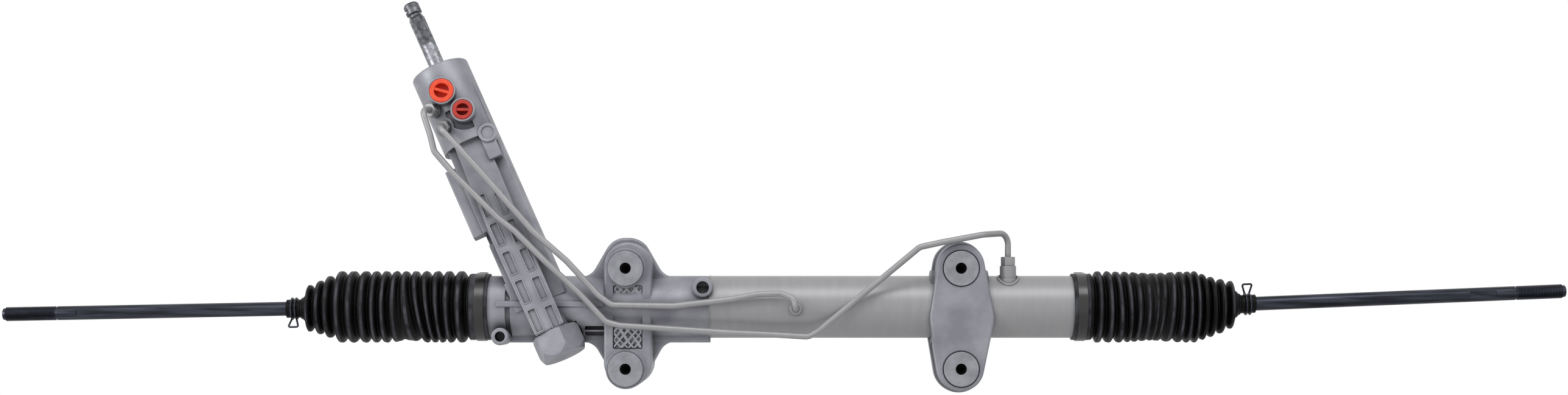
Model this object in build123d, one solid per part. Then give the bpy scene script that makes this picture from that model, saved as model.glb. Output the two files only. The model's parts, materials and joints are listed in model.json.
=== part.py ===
from build123d import *
import math
import os

# Hydraulic rack and pinion steering gear of a large van, modelled about the axis of its rack:
# X runs along the rack, Y runs from the driver's side of the picture into it, Z is up.
# The finished parts are moved so that the origin is the middle of the four mounting bolts,
# on the plane that the mounting sleeves stand on. Lengths are millimetres, angles degrees.

# Mounting
BOLT_SPACING_X = 326.0
BOLT_DROP = 11.4              # middle of the bolt pattern below the rack axis
BOLT_OVER_TUBE = 0.2          # air between the tube and the sleeves of the upper bolts
PLANE_BEHIND_TUBE = 2.5       # the crossmember's face behind the back of the tube
SLEEVE_BEFORE_TUBE = 4.5      # front of the sleeves before the front of the tube
SLEEVE_BORE = 11.0
SLEEVE_OUTER = 13.8           # thin wall, because the upper bolts pass close over the tube
SLEEVE_DISC = 34.0
SLEEVE_DISC_THICKNESS = 4.0
BUSH_OUTER = 28.0
BUSH_DEPTH = 9.6
BOSS_OUTER = 39.0
FIT = 0.05                    # radial clearance of a running or slip fit
CLEAR = 0.3                   # gap between neighbours that don't touch

# Rack and housing along X
HOUSING_LEFT = -317.0
SEAM_X = -81.6
TUBE_RIGHT = 292.0
BOOT_MOUTH_LEFT = -298.0
BOOT_MOUTH_RIGHT = 274.0
STOP_LEFT = -299.0
STOP_RIGHT = 275.0
BARREL_RADIUS = 30.5
RACK_RADIUS = 13.0
RACK_BORE_RADIUS = 16.0
RACK_TRAVEL = 77.5            # each way from straight ahead
BALL_BEYOND_STOP = 102.0
SPIGOT_LENGTH = 24.0
SPIGOT_RADIUS = 26.5
CYLINDER_BORE = 22.5
MOUTH_BORE_RADIUS = 21.0

# Gear mesh
MODULE = 1.85
PINION_TEETH = 8
PRESSURE_ANGLE = 20.0
TOWER_LEAN = 24.35            # pinion axis from the plane square to the rack, also the helix angle
TOWER_TILT = 9.0              # that axis leans back, away from the viewer
RACK_ADDENDUM = 1.1
RACK_DEDENDUM = 2.7
PINION_ADDENDUM = 2.4
PINION_ROOT_CLEARANCE = 0.3
BACKLASH = 0.16
TOOTH_TIP_HEIGHT = 9.5        # rack tooth tips from the rack axis
PINION_THICKNESS = 3.38       # normal tooth thickness of the pinion on its rolling circle
PINION_CROSSING_X = -245.4
PINION_FACE = 34.0
TEETH_BEYOND = 15.0           # rack teeth past the pinion at the end of travel
FLANK_STEPS = 5

# Along the tower, from the crossing up
TOWER_RADIUS = 29.0
VALVE_FLOOR = 182.0
VALVE_LENGTH = 58.0
VALVE_BORE = 21.0
TOP_BEARING_LENGTH = 9.0
TOP_BEARING_BORE = 14.0
SEAL_DEPTH = 9.0
SEAL_BORE = 17.0
SHAFT_REACH = 75.0            # input shaft beyond the tower's top
SHAFT_BORE = 11.5
LOWER_BORE = 14.0
LOWER_BEARING_WIDTH = 9.0
LOWER_JOURNAL = 7.5
LOWER_SEAT = -38.0            # bottom face of the pinion's ball bearing
CAP_RIM = -30.0
CAP_BOTTOM = -56.0
CAP_FLATS = 43.0
CAP_TURN = -15.0              # of the cap's hexagon about the pinion's axis
CAP_CHAMFER = 4.0
RIDGE_RADIUS = 17.5
RIDGE_BOTTOM = -50.0
SHAFT_RADIUS = 7.85
TORSION_BAR_RADIUS = 4.2
TORSION_WAIST = 3.0

# Tie rods and ball joints
BALL_RADIUS = 13.0
SEAT_WALL = 2.0
SOCKET_RADIUS = 18.0
SOCKET_BACK = 22.0
SOCKET_FRONT = 9.0
TIE_ROD_RADIUS = 6.9
TIE_THREAD_RADIUS = 7.0
TIE_THREAD_PITCH = 1.5
LEFT_ROD_END = -778.0
RIGHT_ROD_END = 760.6
LEFT_DROOP = 1.1
RIGHT_RISE = 2.33
LEFT_THREAD = 52.0
RIGHT_THREAD = 48.0

# Boots
BOOT_WALL = 1.6
CREST_OVER_BARREL = 4.7
FOLD_DEPTH = 5.6
CUFF_WALL = 2.2
NECK_RADIUS = 9.0
LEFT_CRESTS = [-326.6, -338.8, -349.9, -361.1, -371.2, -381.2, -390.2, -400.3, -410.8, -420.9,
               -432.8, -444.3, -456.3, -465.4, -476.4]
RIGHT_CRESTS = [299.4, 309.4, 317.3, 325.5, 333.5, 342.0, 352.2, 360.6, 371.2, 380.4, 387.8,
                395.0, 402.8, 411.0, 420.6, 430.8]
LEFT_TAPER = [35.2, 30.4, 26.4, 23.0]
RIGHT_TAPER = [35.2, 32.4, 29.6, 26.8, 23.6]
LEFT_NECK = (-484.0, -498.5)
RIGHT_NECK = (440.0, 455.0)

# Steel lines
LINE_RADIUS = 3.0
LINE_BEND = 11.0

FROM_BASE = (Align.CENTER, Align.CENTER, Align.MIN)

# Derived places
MOUNT_PLANE_Y = BARREL_RADIUS + PLANE_BEHIND_TUBE
SLEEVE_FRONT_Y = -BARREL_RADIUS - SLEEVE_BEFORE_TUBE
UPPER_BOLT_Z = BARREL_RADIUS + BOLT_OVER_TUBE + SLEEVE_OUTER / 2
BOLT_SPACING_Z = 2 * (UPPER_BOLT_Z + BOLT_DROP)
LOWER_BOLT_Z = UPPER_BOLT_Z - BOLT_SPACING_Z
VALVE_CEILING = VALVE_FLOOR + VALVE_LENGTH
SEAL_FLOOR = VALVE_CEILING + TOP_BEARING_LENGTH
TOWER_TOP = SEAL_FLOOR + SEAL_DEPTH
SHAFT_TOP = TOWER_TOP + SHAFT_REACH
BOOT_CREST = BARREL_RADIUS + CREST_OVER_BARREL
BOOT_VALLEY = BOOT_CREST - FOLD_DEPTH
BOOT_CUFF = BARREL_RADIUS + CUFF_WALL
BALL_LEFT = STOP_LEFT - BALL_BEYOND_STOP
BALL_RIGHT = STOP_RIGHT + BALL_BEYOND_STOP
LEAN = math.radians(TOWER_LEAN)
TILT = math.radians(TOWER_TILT)
ROLLING_RADIUS = PINION_TEETH * MODULE / (2 * math.cos(LEAN))
ROLLING_HEIGHT = TOOTH_TIP_HEIGHT - RACK_ADDENDUM
CENTRE_DISTANCE = ROLLING_HEIGHT + ROLLING_RADIUS
TOWER_AXIS = Vector(-math.sin(LEAN), math.cos(LEAN) * math.sin(TILT), math.cos(LEAN) * math.cos(TILT))
TOWER_RIGHT = Vector(math.cos(LEAN), math.sin(LEAN) * math.sin(TILT), math.sin(LEAN) * math.cos(TILT))
TOWER_BACK = Vector(0, math.cos(TILT), -math.sin(TILT))
CAP_CORNER = CAP_FLATS / 2 / math.cos(math.radians(30))
CROSSING = Vector(PINION_CROSSING_X, 0, 0) - TOWER_BACK * CENTRE_DISTANCE
LEFT_BOLT_X = -BOLT_SPACING_X / 2
RIGHT_BOLT_X = BOLT_SPACING_X / 2
BOLTS = [(x, z) for x in (LEFT_BOLT_X, RIGHT_BOLT_X) for z in (LOWER_BOLT_Z, UPPER_BOLT_Z)]


def along_x(x0, x1, radius, y=0.0, z=0.0):
    """Cylinder from x0 to x1, its axis parallel to the rack."""
    return Plane(origin=(x0, y, z), z_dir=(1, 0, 0)) * Cylinder(radius, x1 - x0, align=FROM_BASE)


def along_y(y0, y1, radius, x, z):
    """Cylinder from y0 to y1, its axis parallel to the mounting bolts."""
    return Plane(origin=(x, y0, z), x_dir=(1, 0, 0), z_dir=(0, 1, 0)) * Cylinder(
        radius, y1 - y0, align=FROM_BASE)


def slab(sketch, y0, y1):
    """Outline drawn in X and Z, extruded from y0 back to y1."""
    face = Plane(origin=(0, y1, 0), x_dir=(1, 0, 0), z_dir=(0, -1, 0)) * sketch
    return extrude(face, amount=y1 - y0, dir=(0, -1, 0))


def tower_plane(height=0.0, right=0.0, back=0.0):
    """Plane square to the pinion axis, at a height above the crossing."""
    origin = CROSSING + TOWER_AXIS * height + TOWER_RIGHT * right + TOWER_BACK * back
    return Plane(origin=origin, x_dir=TOWER_RIGHT, z_dir=TOWER_AXIS)


def on_tower(bottom, top, radius, right=0.0, back=0.0):
    """Cylinder round the pinion axis, or beside it, between two heights."""
    return tower_plane(bottom, right, back) * Cylinder(radius, top - bottom, align=FROM_BASE)


def tube_on_tower(bottom, top, outer, inner):
    """Ring round the pinion axis between two heights."""
    return on_tower(bottom, top, outer) - on_tower(bottom, top, inner)


def toward_viewer(right, height, back0, back1, radius):
    """Cylinder square to the tower's front, between two depths behind the pinion axis."""
    plane = Plane(origin=CROSSING + TOWER_AXIS * height + TOWER_RIGHT * right + TOWER_BACK * back0,
                  x_dir=TOWER_RIGHT, z_dir=TOWER_BACK)
    return plane * Cylinder(radius, back1 - back0, align=FROM_BASE)


def tower_block(right0, right1, back0, back1, bottom, top):
    """Box in the tower's own directions."""
    return tower_plane(bottom, (right0 + right1) / 2, (back0 + back1) / 2) * Box(
        right1 - right0, back1 - back0, top - bottom, align=FROM_BASE)


def revolved_x(points):
    """Closed outline of (x, radius) pairs turned once round the rack axis."""
    outline = make_face(Polyline([(x, r) for x, r in points], close=True))
    return revolve(outline, axis=Axis.X, revolution_arc=360)


def revolved_tower(points):
    """Closed outline of (radius, height) pairs turned once round the pinion axis."""
    outline = make_face(Plane.XZ * Polyline([(r, h) for r, h in points], close=True))
    return tower_plane() * revolve(outline, axis=Axis.Z, revolution_arc=360)


# Housing casting

CAST_EDGE = 2.5               # radius that the sand mould leaves on outer edges
SMALL_EDGE = 1.2
EAR_HOLLOW = 16.0
EAR_FRONT = -8.0
EAR_BACK = 10.0
UPPER_EAR_TIP = (UPPER_BOLT_Z + 30.4, LEFT_BOLT_X, 28.0, 21.0)       # height, middle, width, radius
UPPER_EAR_FOOT = (BARREL_RADIUS - 0.7, LEFT_BOLT_X, 72.0)            # height, middle, width
LOWER_EAR_TIP = (LOWER_BOLT_Z - 16.9, LEFT_BOLT_X + 2.5, 22.0, 17.5)
LOWER_EAR_FOOT = (-BARREL_RADIUS - 4.1, LEFT_BOLT_X + 1.6, 70.3)
COLUMN_MIDDLE = LEFT_BOLT_X + 2.0
COLUMN_WIDTH = 46.6
COLUMN_TOP = UPPER_BOLT_Z + 25.4
COLUMN_BOTTOM = LOWER_BOLT_Z - 16.9
COLUMN_FRONT = -BARREL_RADIUS + 1.0
COLUMN_BACK = 26.0
POCKET_WIDTH = 29.0
POCKET_HEIGHT = 62.0
POCKET_FLOOR = -BARREL_RADIUS + 4.5


def front_rounded(solid, radius):
    """Solid with the edges of its frontmost flat face rounded."""
    return fillet(solid.faces().sort_by(Axis.Y)[0].edges(), radius)


def ear(tip, foot):
    """One ear of the left mount's web: sloping flanks, a round tip and hollow curves into the barrel."""
    tip_height, tip_middle, tip_width, tip_radius = tip
    height, middle, width = foot
    beyond = 1.5 * EAR_HOLLOW
    corners = [(middle - width / 2 - beyond, 0), (middle - width / 2 - beyond, height),
               (middle - width / 2, height), (tip_middle - tip_width / 2, tip_height),
               (tip_middle + tip_width / 2, tip_height), (middle + width / 2, height),
               (middle + width / 2 + beyond, height), (middle + width / 2 + beyond, 0)]
    outline = make_face(Polyline(corners, close=True))
    outline = fillet([v for v in outline.vertices() if abs(v.Y - tip_height) < FIT], tip_radius)
    hollows = [v for v in outline.vertices()
               if abs(v.Y - height) < FIT and abs(abs(v.X - middle) - width / 2) < FIT]
    return front_rounded(slab(fillet(hollows, EAR_HOLLOW), EAR_FRONT, EAR_BACK), CAST_EDGE)


def mount_column():
    """Thick raised band between the two left bushings, with a pocket between its rails."""
    height = COLUMN_TOP - COLUMN_BOTTOM
    middle = (COLUMN_TOP + COLUMN_BOTTOM) / 2
    outline = Pos(COLUMN_MIDDLE, middle) * RectangleRounded(COLUMN_WIDTH, height, COLUMN_WIDTH / 2 - 0.1)
    column = front_rounded(slab(outline, COLUMN_FRONT, COLUMN_BACK), CAST_EDGE)
    pocket = Pos(COLUMN_MIDDLE, (UPPER_BOLT_Z + LOWER_BOLT_Z) / 2 + 1.4) * RectangleRounded(
        POCKET_WIDTH, POCKET_HEIGHT, 2.0)
    return column - slab(pocket, COLUMN_FRONT - 10, POCKET_FLOOR)


RIDGE_FRONT = -22.5           # flat front of the ridge before the pinion's axis
RIDGE_DEPTH = 21.0
RIDGE_FOOT = (-30.0, -17.5, 12.5)     # height, left and right edges of its front
RIDGE_WAIST = (60.0, -19.0, 13.5)
RIDGE_TOP = (VALVE_FLOOR, -15.5, 15.5)
POCKET_ROWS = (-11.5, 5.0)    # middles of the two rows of pockets, to the right of the axis
POCKET_SLOT = (23.0, 7.2)     # length and width
POCKET_PITCH = 31.0
POCKET_FIRST = -16.0
POCKET_STAGGER = -3.5
POCKET_COUNT = 5
POCKET_DEPTH = 1.6
POCKET_RIM = 0.9              # width of the raised lip round each pocket
WALL_FLANGE = (-35.0, 84.0, 158.0)    # right, bottom and top of the flat wall on the tower's left
NECK_FRONT = -14.0
NECK_LEFT = -24.0             # flat left side of the neck


def tower_outer():
    """Valve body, the leaning neck under it and the ridge in front that holds the pinion shaft."""
    shoulder = VALVE_FLOOR - 8
    neck = on_tower(0, VALVE_FLOOR, TOWER_RADIUS)
    neck -= tower_block(-TOWER_RADIUS - 1, TOWER_RADIUS + 1, -60, NECK_FRONT, -TOWER_RADIUS, VALVE_FLOOR - 4)
    neck -= tower_block(-TOWER_RADIUS - 1, NECK_LEFT, -60, 60, BARREL_RADIUS, VALVE_FLOOR - 4)
    head = on_tower(shoulder, TOWER_TOP, TOWER_RADIUS)
    head = fillet(head.faces().sort_by(Axis.Z)[-1].edges(), CAST_EDGE)
    body = neck + head
    ridge = on_tower(RIDGE_BOTTOM, 2 * TOWER_RADIUS, RIDGE_RADIUS)
    plane = Plane(origin=CROSSING + TOWER_BACK * RIDGE_FRONT, x_dir=TOWER_RIGHT, z_dir=TOWER_BACK)
    rungs = (RIDGE_FOOT, RIDGE_WAIST, RIDGE_TOP)
    left_side = [(left, -height) for height, left, right in rungs]
    right_side = [(right, -height) for height, left, right in rungs]
    outline = Polygon(*left_side, *reversed(right_side), align=None)
    front = extrude(plane * outline, amount=RIDGE_DEPTH, dir=TOWER_BACK)
    body += ridge + front_rounded(front, CAST_EDGE)
    right, bottom, top = WALL_FLANGE
    flange = tower_block(right, right + 15, -10, 6, bottom, top)
    return body + fillet(flange.edges(), SMALL_EDGE)


def ridge_pockets(grow, front, back):
    """Rectangles up the front of the ridge, in two rows, as solids between two depths before its face."""
    pockets = []
    length, width = POCKET_SLOT
    for row, right in enumerate(POCKET_ROWS):
        for step in range(POCKET_COUNT):
            height = POCKET_FIRST + POCKET_PITCH * step + POCKET_STAGGER * row
            middle = CROSSING + TOWER_AXIS * height + TOWER_RIGHT * right
            origin = middle + TOWER_BACK * (RIDGE_FRONT + front)
            plane = Plane(origin=origin, x_dir=TOWER_RIGHT, z_dir=TOWER_BACK)
            outline = plane * RectangleRounded(width + 2 * grow, length + 2 * grow, 1.2 + grow)
            pockets.append(extrude(outline, amount=back - front))
    return pockets


PORTS = {"feed": (-4.6, 227.6, 13.4, 12.2), "return": (6.7, 201.7, 11.8, 10.2)}
PORT_FACE = -37.5
PORT_MOUTH_DEPTH = 6.0
PORT_THREAD_DEPTH = 8.0
PORT_THREAD_RADIUS = 8.0
PORT_GAP = 6.5                # width of the cored gap beside and under the return port
PORT_GAP_FLOOR = -VALVE_BORE - 3.0   # the wall left before the valve's bore is 3 mm
UNION_PORTS = [((-350.5, -8.0, 192.5), (-0.42, -0.907, 0.0)), ((-341.0, -9.0, 175.5), (-0.14, -0.99, 0.0))]
UNION_BOSS_RADII = (7.4, 9.2)
UNION_BOSS_FACE = 5.0
UNION_BORE = 4.6

# Round bosses on the barrel's front: X, Z, radius, front face, radius of hole, floor of hole
SMALL_BOSSES = [(-284.8, -28.7, 8.5, -34.0, 5.0, -16.0), (-88.0, 18.9, 9.8, -33.0, 6.2, -18.0)]
COLLAR_GROOVE = (18.5, 5.0, 3.0)      # beyond the left stop, width and depth
SKIRT_TOP = -2.0
SKIRT_BOTTOM = -BARREL_RADIUS - 4.5
SKIRT_HALF = 9.0
SKIRT_START = BOOT_MOUTH_LEFT + 14.0
RIB_HEIGHT = 2.9
RIB_WIDTH = 6.0
RIB_START = BOOT_MOUTH_LEFT + 9.0
RIB_END = -184.0
CAST_SLOT = (-193.8, -23.3, 19.6, 9.6)        # X, Z, width and height
CAST_SLOT_FLOOR = -6.0
CAST_SLOT_BAR = (-23.0, 1.8)          # front and height of the thin bar left across the slot
PAD = (19.6, 173.2, 9.3)              # round pad at the tower's upper right: right, height, radius
STEP = (10.5, 24.0, 147.5, 170.0)     # stepped pad below it: left, right, bottom, top
STEP_FRONT = -26.0
LEFT_NOTCH = (72.0, 86.0)


def small_boss(x, z, radius, face):
    """Round boss with a softened rim on the front of the barrel."""
    boss = along_y(face, 0, radius, x, z)
    return fillet(boss.faces().sort_by(Axis.Y)[0].edges(), SMALL_EDGE)


def gear_housing():
    """Aluminium casting: barrel, left mount, leaning tower, yoke boss and the ports' collars."""
    body = along_x(HOUSING_LEFT, SEAM_X, BARREL_RADIUS)
    beyond, width, depth = COLLAR_GROOVE
    groove = along_x(STOP_LEFT + beyond, STOP_LEFT + beyond + width, 2 * BARREL_RADIUS)
    body -= groove - along_x(STOP_LEFT + beyond, STOP_LEFT + beyond + width, BARREL_RADIUS - depth)
    skirt = Pos((SKIRT_START + SEAM_X) / 2, (SKIRT_TOP + SKIRT_BOTTOM) / 2) * Rectangle(
        SEAM_X - SKIRT_START, SKIRT_TOP - SKIRT_BOTTOM)
    body += front_rounded(slab(skirt, -SKIRT_HALF, SKIRT_HALF), CAST_EDGE)
    body += ear(UPPER_EAR_TIP, UPPER_EAR_FOOT)
    body += ear(LOWER_EAR_TIP, LOWER_EAR_FOOT)
    body += mount_column()
    rib = Pos((RIB_START + RIB_END) / 2, RIB_HEIGHT) * Rectangle(RIB_END - RIB_START, RIB_WIDTH)
    body += front_rounded(slab(rib, -BARREL_RADIUS - 1.5, -BARREL_RADIUS / 2), SMALL_EDGE)
    for x, z, radius, face, hole, floor in SMALL_BOSSES:
        body += small_boss(x, z, radius, face)
    body += tower_outer()
    for right, height, outer, mouth in PORTS.values():
        body += toward_viewer(right, height, PORT_FACE, 0, outer)
    for port, radius in zip(UNION_PORTS, UNION_BOSS_RADII):
        body += union_cylinder(port, -14, UNION_BOSS_FACE, radius)
    right, height, radius = PAD
    body += toward_viewer(right, height, STEP_FRONT - 2.0, 0, radius)
    body -= toward_viewer(right, height, STEP_FRONT - 3.0, STEP_FRONT - 0.8, 0.7 * radius)
    left, right, bottom, top = STEP
    body += fillet(tower_block(left, right, STEP_FRONT, -8, bottom, top).edges(), SMALL_EDGE)
    body += toward_viewer(0, 0, CENTRE_DISTANCE, YOKE_BOSS_FACE, YOKE_BOSS_RADIUS)
    for x, z in BOLTS[:2]:
        body += bushing_boss(x, z, 0.5)
    for rim in ridge_pockets(POCKET_RIM, -0.7, 1):
        body += rim
    body -= gear_housing_bores()
    for pocket in ridge_pockets(0, -2, POCKET_DEPTH):
        body -= pocket
    return body


def port_gap():
    """Curved gap cored round the lower left of the return port's collar, clear of the unions' bosses."""
    right, height, outer, mouth = PORTS["return"]
    gap = toward_viewer(right, height, PORT_FACE - 5, PORT_GAP_FLOOR, outer + PORT_GAP)
    gap -= toward_viewer(right, height, PORT_FACE - 6, 0, outer)
    gap &= tower_block(right - outer - 8, right + 4, -60, 0, height - outer - 8, height + 7)
    right, height, outer, mouth = PORTS["feed"]
    gap -= toward_viewer(right, height, PORT_FACE - 6, 0, outer)
    for port, radius in zip(UNION_PORTS, UNION_BOSS_RADII):
        gap -= union_cylinder(port, -30, UNION_BOSS_FACE + 1, radius + 1.0)
    return gap


def bushing_boss(x, z, behind_disc):
    """Round boss about a bushing, its front rim softened, a little behind the sleeve's disc."""
    face = SLEEVE_FRONT_Y + SLEEVE_DISC_THICKNESS + behind_disc
    back = MOUNT_PLANE_Y - SLEEVE_DISC_THICKNESS - 0.5
    boss = along_y(face, back, BOSS_OUTER / 2, x, z)
    return fillet(boss.faces().sort_by(Axis.Y)[0].edges(), SMALL_EDGE)


def union_cylinder(port, start, end, radius):
    """Cylinder along the axis of a pipe union on the valve body, measured out from its base point."""
    base, axis = Vector(*port[0]), Vector(*port[1]).normalized()
    plane = Plane(origin=base + axis * start, z_dir=axis)
    return plane * Cylinder(radius, end - start, align=FROM_BASE)


def gear_housing_bores():
    """Everything drilled, bored or cored out of the casting."""
    cuts = along_x(HOUSING_LEFT - 1, SEAM_X + 1, RACK_BORE_RADIUS)
    cuts += along_x(HOUSING_LEFT - 1, STOP_LEFT, MOUTH_BORE_RADIUS)
    cuts += along_x(SEAM_X - SPIGOT_LENGTH, SEAM_X + 1, SPIGOT_RADIUS)
    cuts += tube_on_tower(CAP_BOTTOM - 5, CAP_RIM + CLEAR, CAP_CORNER + CLEAR, RIDGE_RADIUS)
    cuts += on_tower(RIDGE_BOTTOM - 1, LOWER_SEAT + LOWER_BEARING_WIDTH, LOWER_BORE)
    cuts += on_tower(LOWER_SEAT, TOWER_TOP, SHAFT_BORE)
    cuts += on_tower(VALVE_FLOOR, VALVE_CEILING, VALVE_BORE)
    cuts += on_tower(VALVE_CEILING - 1, SEAL_FLOOR, TOP_BEARING_BORE)
    cuts += on_tower(SEAL_FLOOR, TOWER_TOP + 1, SEAL_BORE)
    cuts += on_tower(TOWER_TOP - RING_FROM_TOP, TOWER_TOP - RING_FROM_TOP + RING_GROOVE, SEAL_BORE + 1.2)
    cuts += toward_viewer(0, 0, CENTRE_DISTANCE, YOKE_BOSS_FACE + 1, YOKE_BORE)
    cuts += toward_viewer(0, 0, YOKE_BOSS_FACE, YOKE_BOSS_FACE + 12, YOKE_BOSS_RADIUS + 2.5)
    for right, height, outer, mouth in PORTS.values():
        cuts += toward_viewer(right, height, PORT_FACE - 1, PORT_FACE + PORT_MOUTH_DEPTH, mouth)
        thread_end = PORT_FACE + PORT_MOUTH_DEPTH + PORT_THREAD_DEPTH
        cuts += toward_viewer(right, height, PORT_FACE, thread_end, PORT_THREAD_RADIUS)
        cuts += toward_viewer(right, height, thread_end - 1, -15, 3.5)
    cuts += port_gap()
    for port in UNION_PORTS:
        cuts += union_cylinder(port, -6, UNION_BOSS_FACE + 1, UNION_BORE)
        cuts += union_cylinder(port, -14, 0, 2.0)
        cuts += union_cylinder(port, UNION_BOSS_FACE, UNION_BOSS_FACE + 10, LINE_NUT_FLATS / 2 + 1.5)
    for x, z in BOLTS[:2]:
        cuts += bushing_bores(x, z)
    cuts += along_x(SEAM_X, SEAM_X + 30, BARREL_RADIUS)
    for x, z, radius, face, hole, floor in SMALL_BOSSES:
        cuts += along_y(face - 1, floor, hole, x, z)
    x, z, width, height = CAST_SLOT
    slot = slab(Pos(x, z) * RectangleRounded(width, height, 2.0), -BARREL_RADIUS - 1.5, CAST_SLOT_FLOOR)
    bar_front, bar_height = CAST_SLOT_BAR
    cuts += slot - slab(Pos(x, z) * Rectangle(2 * width, bar_height), bar_front, 0)
    bottom, top = LEFT_NOTCH
    cuts += tower_block(-TOWER_RADIUS - 10, -20.0, -16, 8, bottom, top)
    return cuts


# Yoke that presses the rack against the pinion

YOKE_BORE = 16.0
YOKE_BOSS_RADIUS = 21.5
YOKE_BOSS_FACE = 43.0
YOKE_BACK = CENTRE_DISTANCE + RACK_RADIUS + 7.5
YOKE_PLUG_FRONT = YOKE_BACK + 1.2
YOKE_PLUG_BACK = 47.5
YOKE_SPRING_RADIUS = 7.0
YOKE_SPRING_WIRE = 1.1
YOKE_SPRING_POCKET = 4.6


def yoke():
    """Plunger with a hollow face that the rack slides in and a pocket for its spring."""
    body = toward_viewer(0, 0, CENTRE_DISTANCE + 3, YOKE_BACK, YOKE_BORE - FIT)
    body -= along_x(PINION_CROSSING_X - 40, PINION_CROSSING_X + 40, RACK_RADIUS + FIT)
    body -= toward_viewer(0, 0, YOKE_BACK - YOKE_SPRING_POCKET, YOKE_BACK + 1, YOKE_SPRING_RADIUS + 2)
    groove = toward_viewer(0, 0, YOKE_BACK - 5.2, YOKE_BACK - 2.8, YOKE_BORE + 1)
    return body - (groove - toward_viewer(0, 0, YOKE_BACK - 5.2, YOKE_BACK - 2.8, YOKE_BORE - 2.2))


def yoke_ring():
    """Rubber ring in the yoke's groove."""
    plane = Plane(origin=CROSSING + TOWER_BACK * (YOKE_BACK - 4.0), x_dir=TOWER_RIGHT, z_dir=TOWER_BACK)
    return plane * Torus(YOKE_BORE - 1.1, 1.0)


def yoke_spring():
    """Coil spring between the yoke and its plug."""
    start = YOKE_BACK - YOKE_SPRING_POCKET + YOKE_SPRING_WIRE
    end = YOKE_PLUG_FRONT + 2.0 - YOKE_SPRING_WIRE
    coil = Helix(pitch=(end - start) / 1.5, height=end - start, radius=YOKE_SPRING_RADIUS)
    wire = sweep(Plane(origin=coil @ 0, z_dir=coil % 0) * Circle(YOKE_SPRING_WIRE), path=coil, is_frenet=True)
    return Plane(origin=CROSSING + TOWER_BACK * start, x_dir=TOWER_RIGHT, z_dir=TOWER_BACK) * wire


def yoke_plug():
    """Threaded plug that sets the yoke's play, with a square drive in its back."""
    plug = toward_viewer(0, 0, YOKE_PLUG_FRONT, YOKE_PLUG_BACK, YOKE_BORE - 0.1)
    plug -= toward_viewer(0, 0, YOKE_PLUG_FRONT - 1, YOKE_PLUG_FRONT + 2.0, YOKE_SPRING_RADIUS + 2)
    drive = Plane(origin=CROSSING + TOWER_BACK * (YOKE_PLUG_BACK - 4), x_dir=TOWER_RIGHT, z_dir=TOWER_BACK)
    return plug - extrude(drive * Rectangle(12.7, 12.7), amount=6)


def yoke_locknut():
    """Thin hexagonal nut that locks the plug against the boss."""
    plane = Plane(origin=CROSSING + TOWER_BACK * YOKE_BOSS_FACE, x_dir=TOWER_RIGHT, z_dir=TOWER_BACK)
    nut = extrude(plane * RegularPolygon(20.0, 6, major_radius=False), amount=3.6)
    return nut - toward_viewer(0, 0, YOKE_BOSS_FACE - 1, YOKE_BOSS_FACE + 5, YOKE_BORE)


# Cylinder tube and the right mount


def cylinder_tube():
    """Steel cylinder tube: its left end is turned down to sit in the casting."""
    tube = along_x(SEAM_X, TUBE_RIGHT, BARREL_RADIUS)
    tube += along_x(SEAM_X - SPIGOT_LENGTH, SEAM_X, SPIGOT_RADIUS)
    tube -= along_x(SEAM_X - SPIGOT_LENGTH - 1, TUBE_RIGHT + 1, CYLINDER_BORE)
    tube -= Pos(*LONG_PORT) * Cylinder(2.2, 40, align=FROM_BASE)
    tube -= along_y(-BARREL_RADIUS - 5, 0, 2.2, SHORT_PORT[0], SHORT_PORT[1])
    tube -= along_y(-BARREL_RADIUS - 5, SHORT_LINE_END + FIT, LINE_RADIUS + FIT, SHORT_PORT[0], SHORT_PORT[1])
    return tube


LONG_PORT = (210.5, -12.0, 10.0)
LONG_PORT_TOP = BARREL_RADIUS + 9.5
LONG_PORT_RADIUS = 8.0
SHORT_PORT = (2.5, -2.0)
SHORT_LINE_END = -BARREL_RADIUS + 4.0
LINE_NUT_FLATS = 12.0


def cylinder_port():
    """Steel boss welded on top of the tube, where the long line is screwed in."""
    x, y, z = LONG_PORT
    boss = Pos(x, y, 12) * Cylinder(LONG_PORT_RADIUS, LONG_PORT_TOP - 12, align=FROM_BASE)
    boss += Pos(x, y, 12) * Cylinder(LONG_PORT_RADIUS + 1.0, 16, align=FROM_BASE)
    boss -= along_x(x - 20, x + 20, BARREL_RADIUS)
    boss -= Pos(x, y, LONG_PORT_TOP - 9) * Cylinder(4.6, 12, align=FROM_BASE)
    return boss - Pos(x, y, 10) * Cylinder(2.2, 40, align=FROM_BASE)


def line_collar():
    """Brazed collar where the short line enters the tube."""
    x, z = SHORT_PORT
    front = -BARREL_RADIUS - 3.5
    collar = along_y(front, SHORT_LINE_END, 6.0, x, z)
    collar = fillet(collar.faces().sort_by(Axis.Y)[0].edges(), SMALL_EDGE)
    collar -= along_x(x - 20, x + 20, BARREL_RADIUS)
    return collar - along_y(front - 1, 0, LINE_RADIUS + FIT, x, z)


BRACKET_FRONT = -BARREL_RADIUS - 3.0
BRACKET_BACK = 12.0
BRACKET_WALL = 5.0
BRACKET_MIDDLE = 31.4         # radius of the plate about the tube
BRACKET_UPPER = 23.0          # and about each bushing
BRACKET_LOWER = 22.5
CLAMP_HALF = 28.0
CLAMP_WALL = 5.5
CLAMP_BACK = 26.0
DISC_CLEARANCE = 1.0


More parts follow.
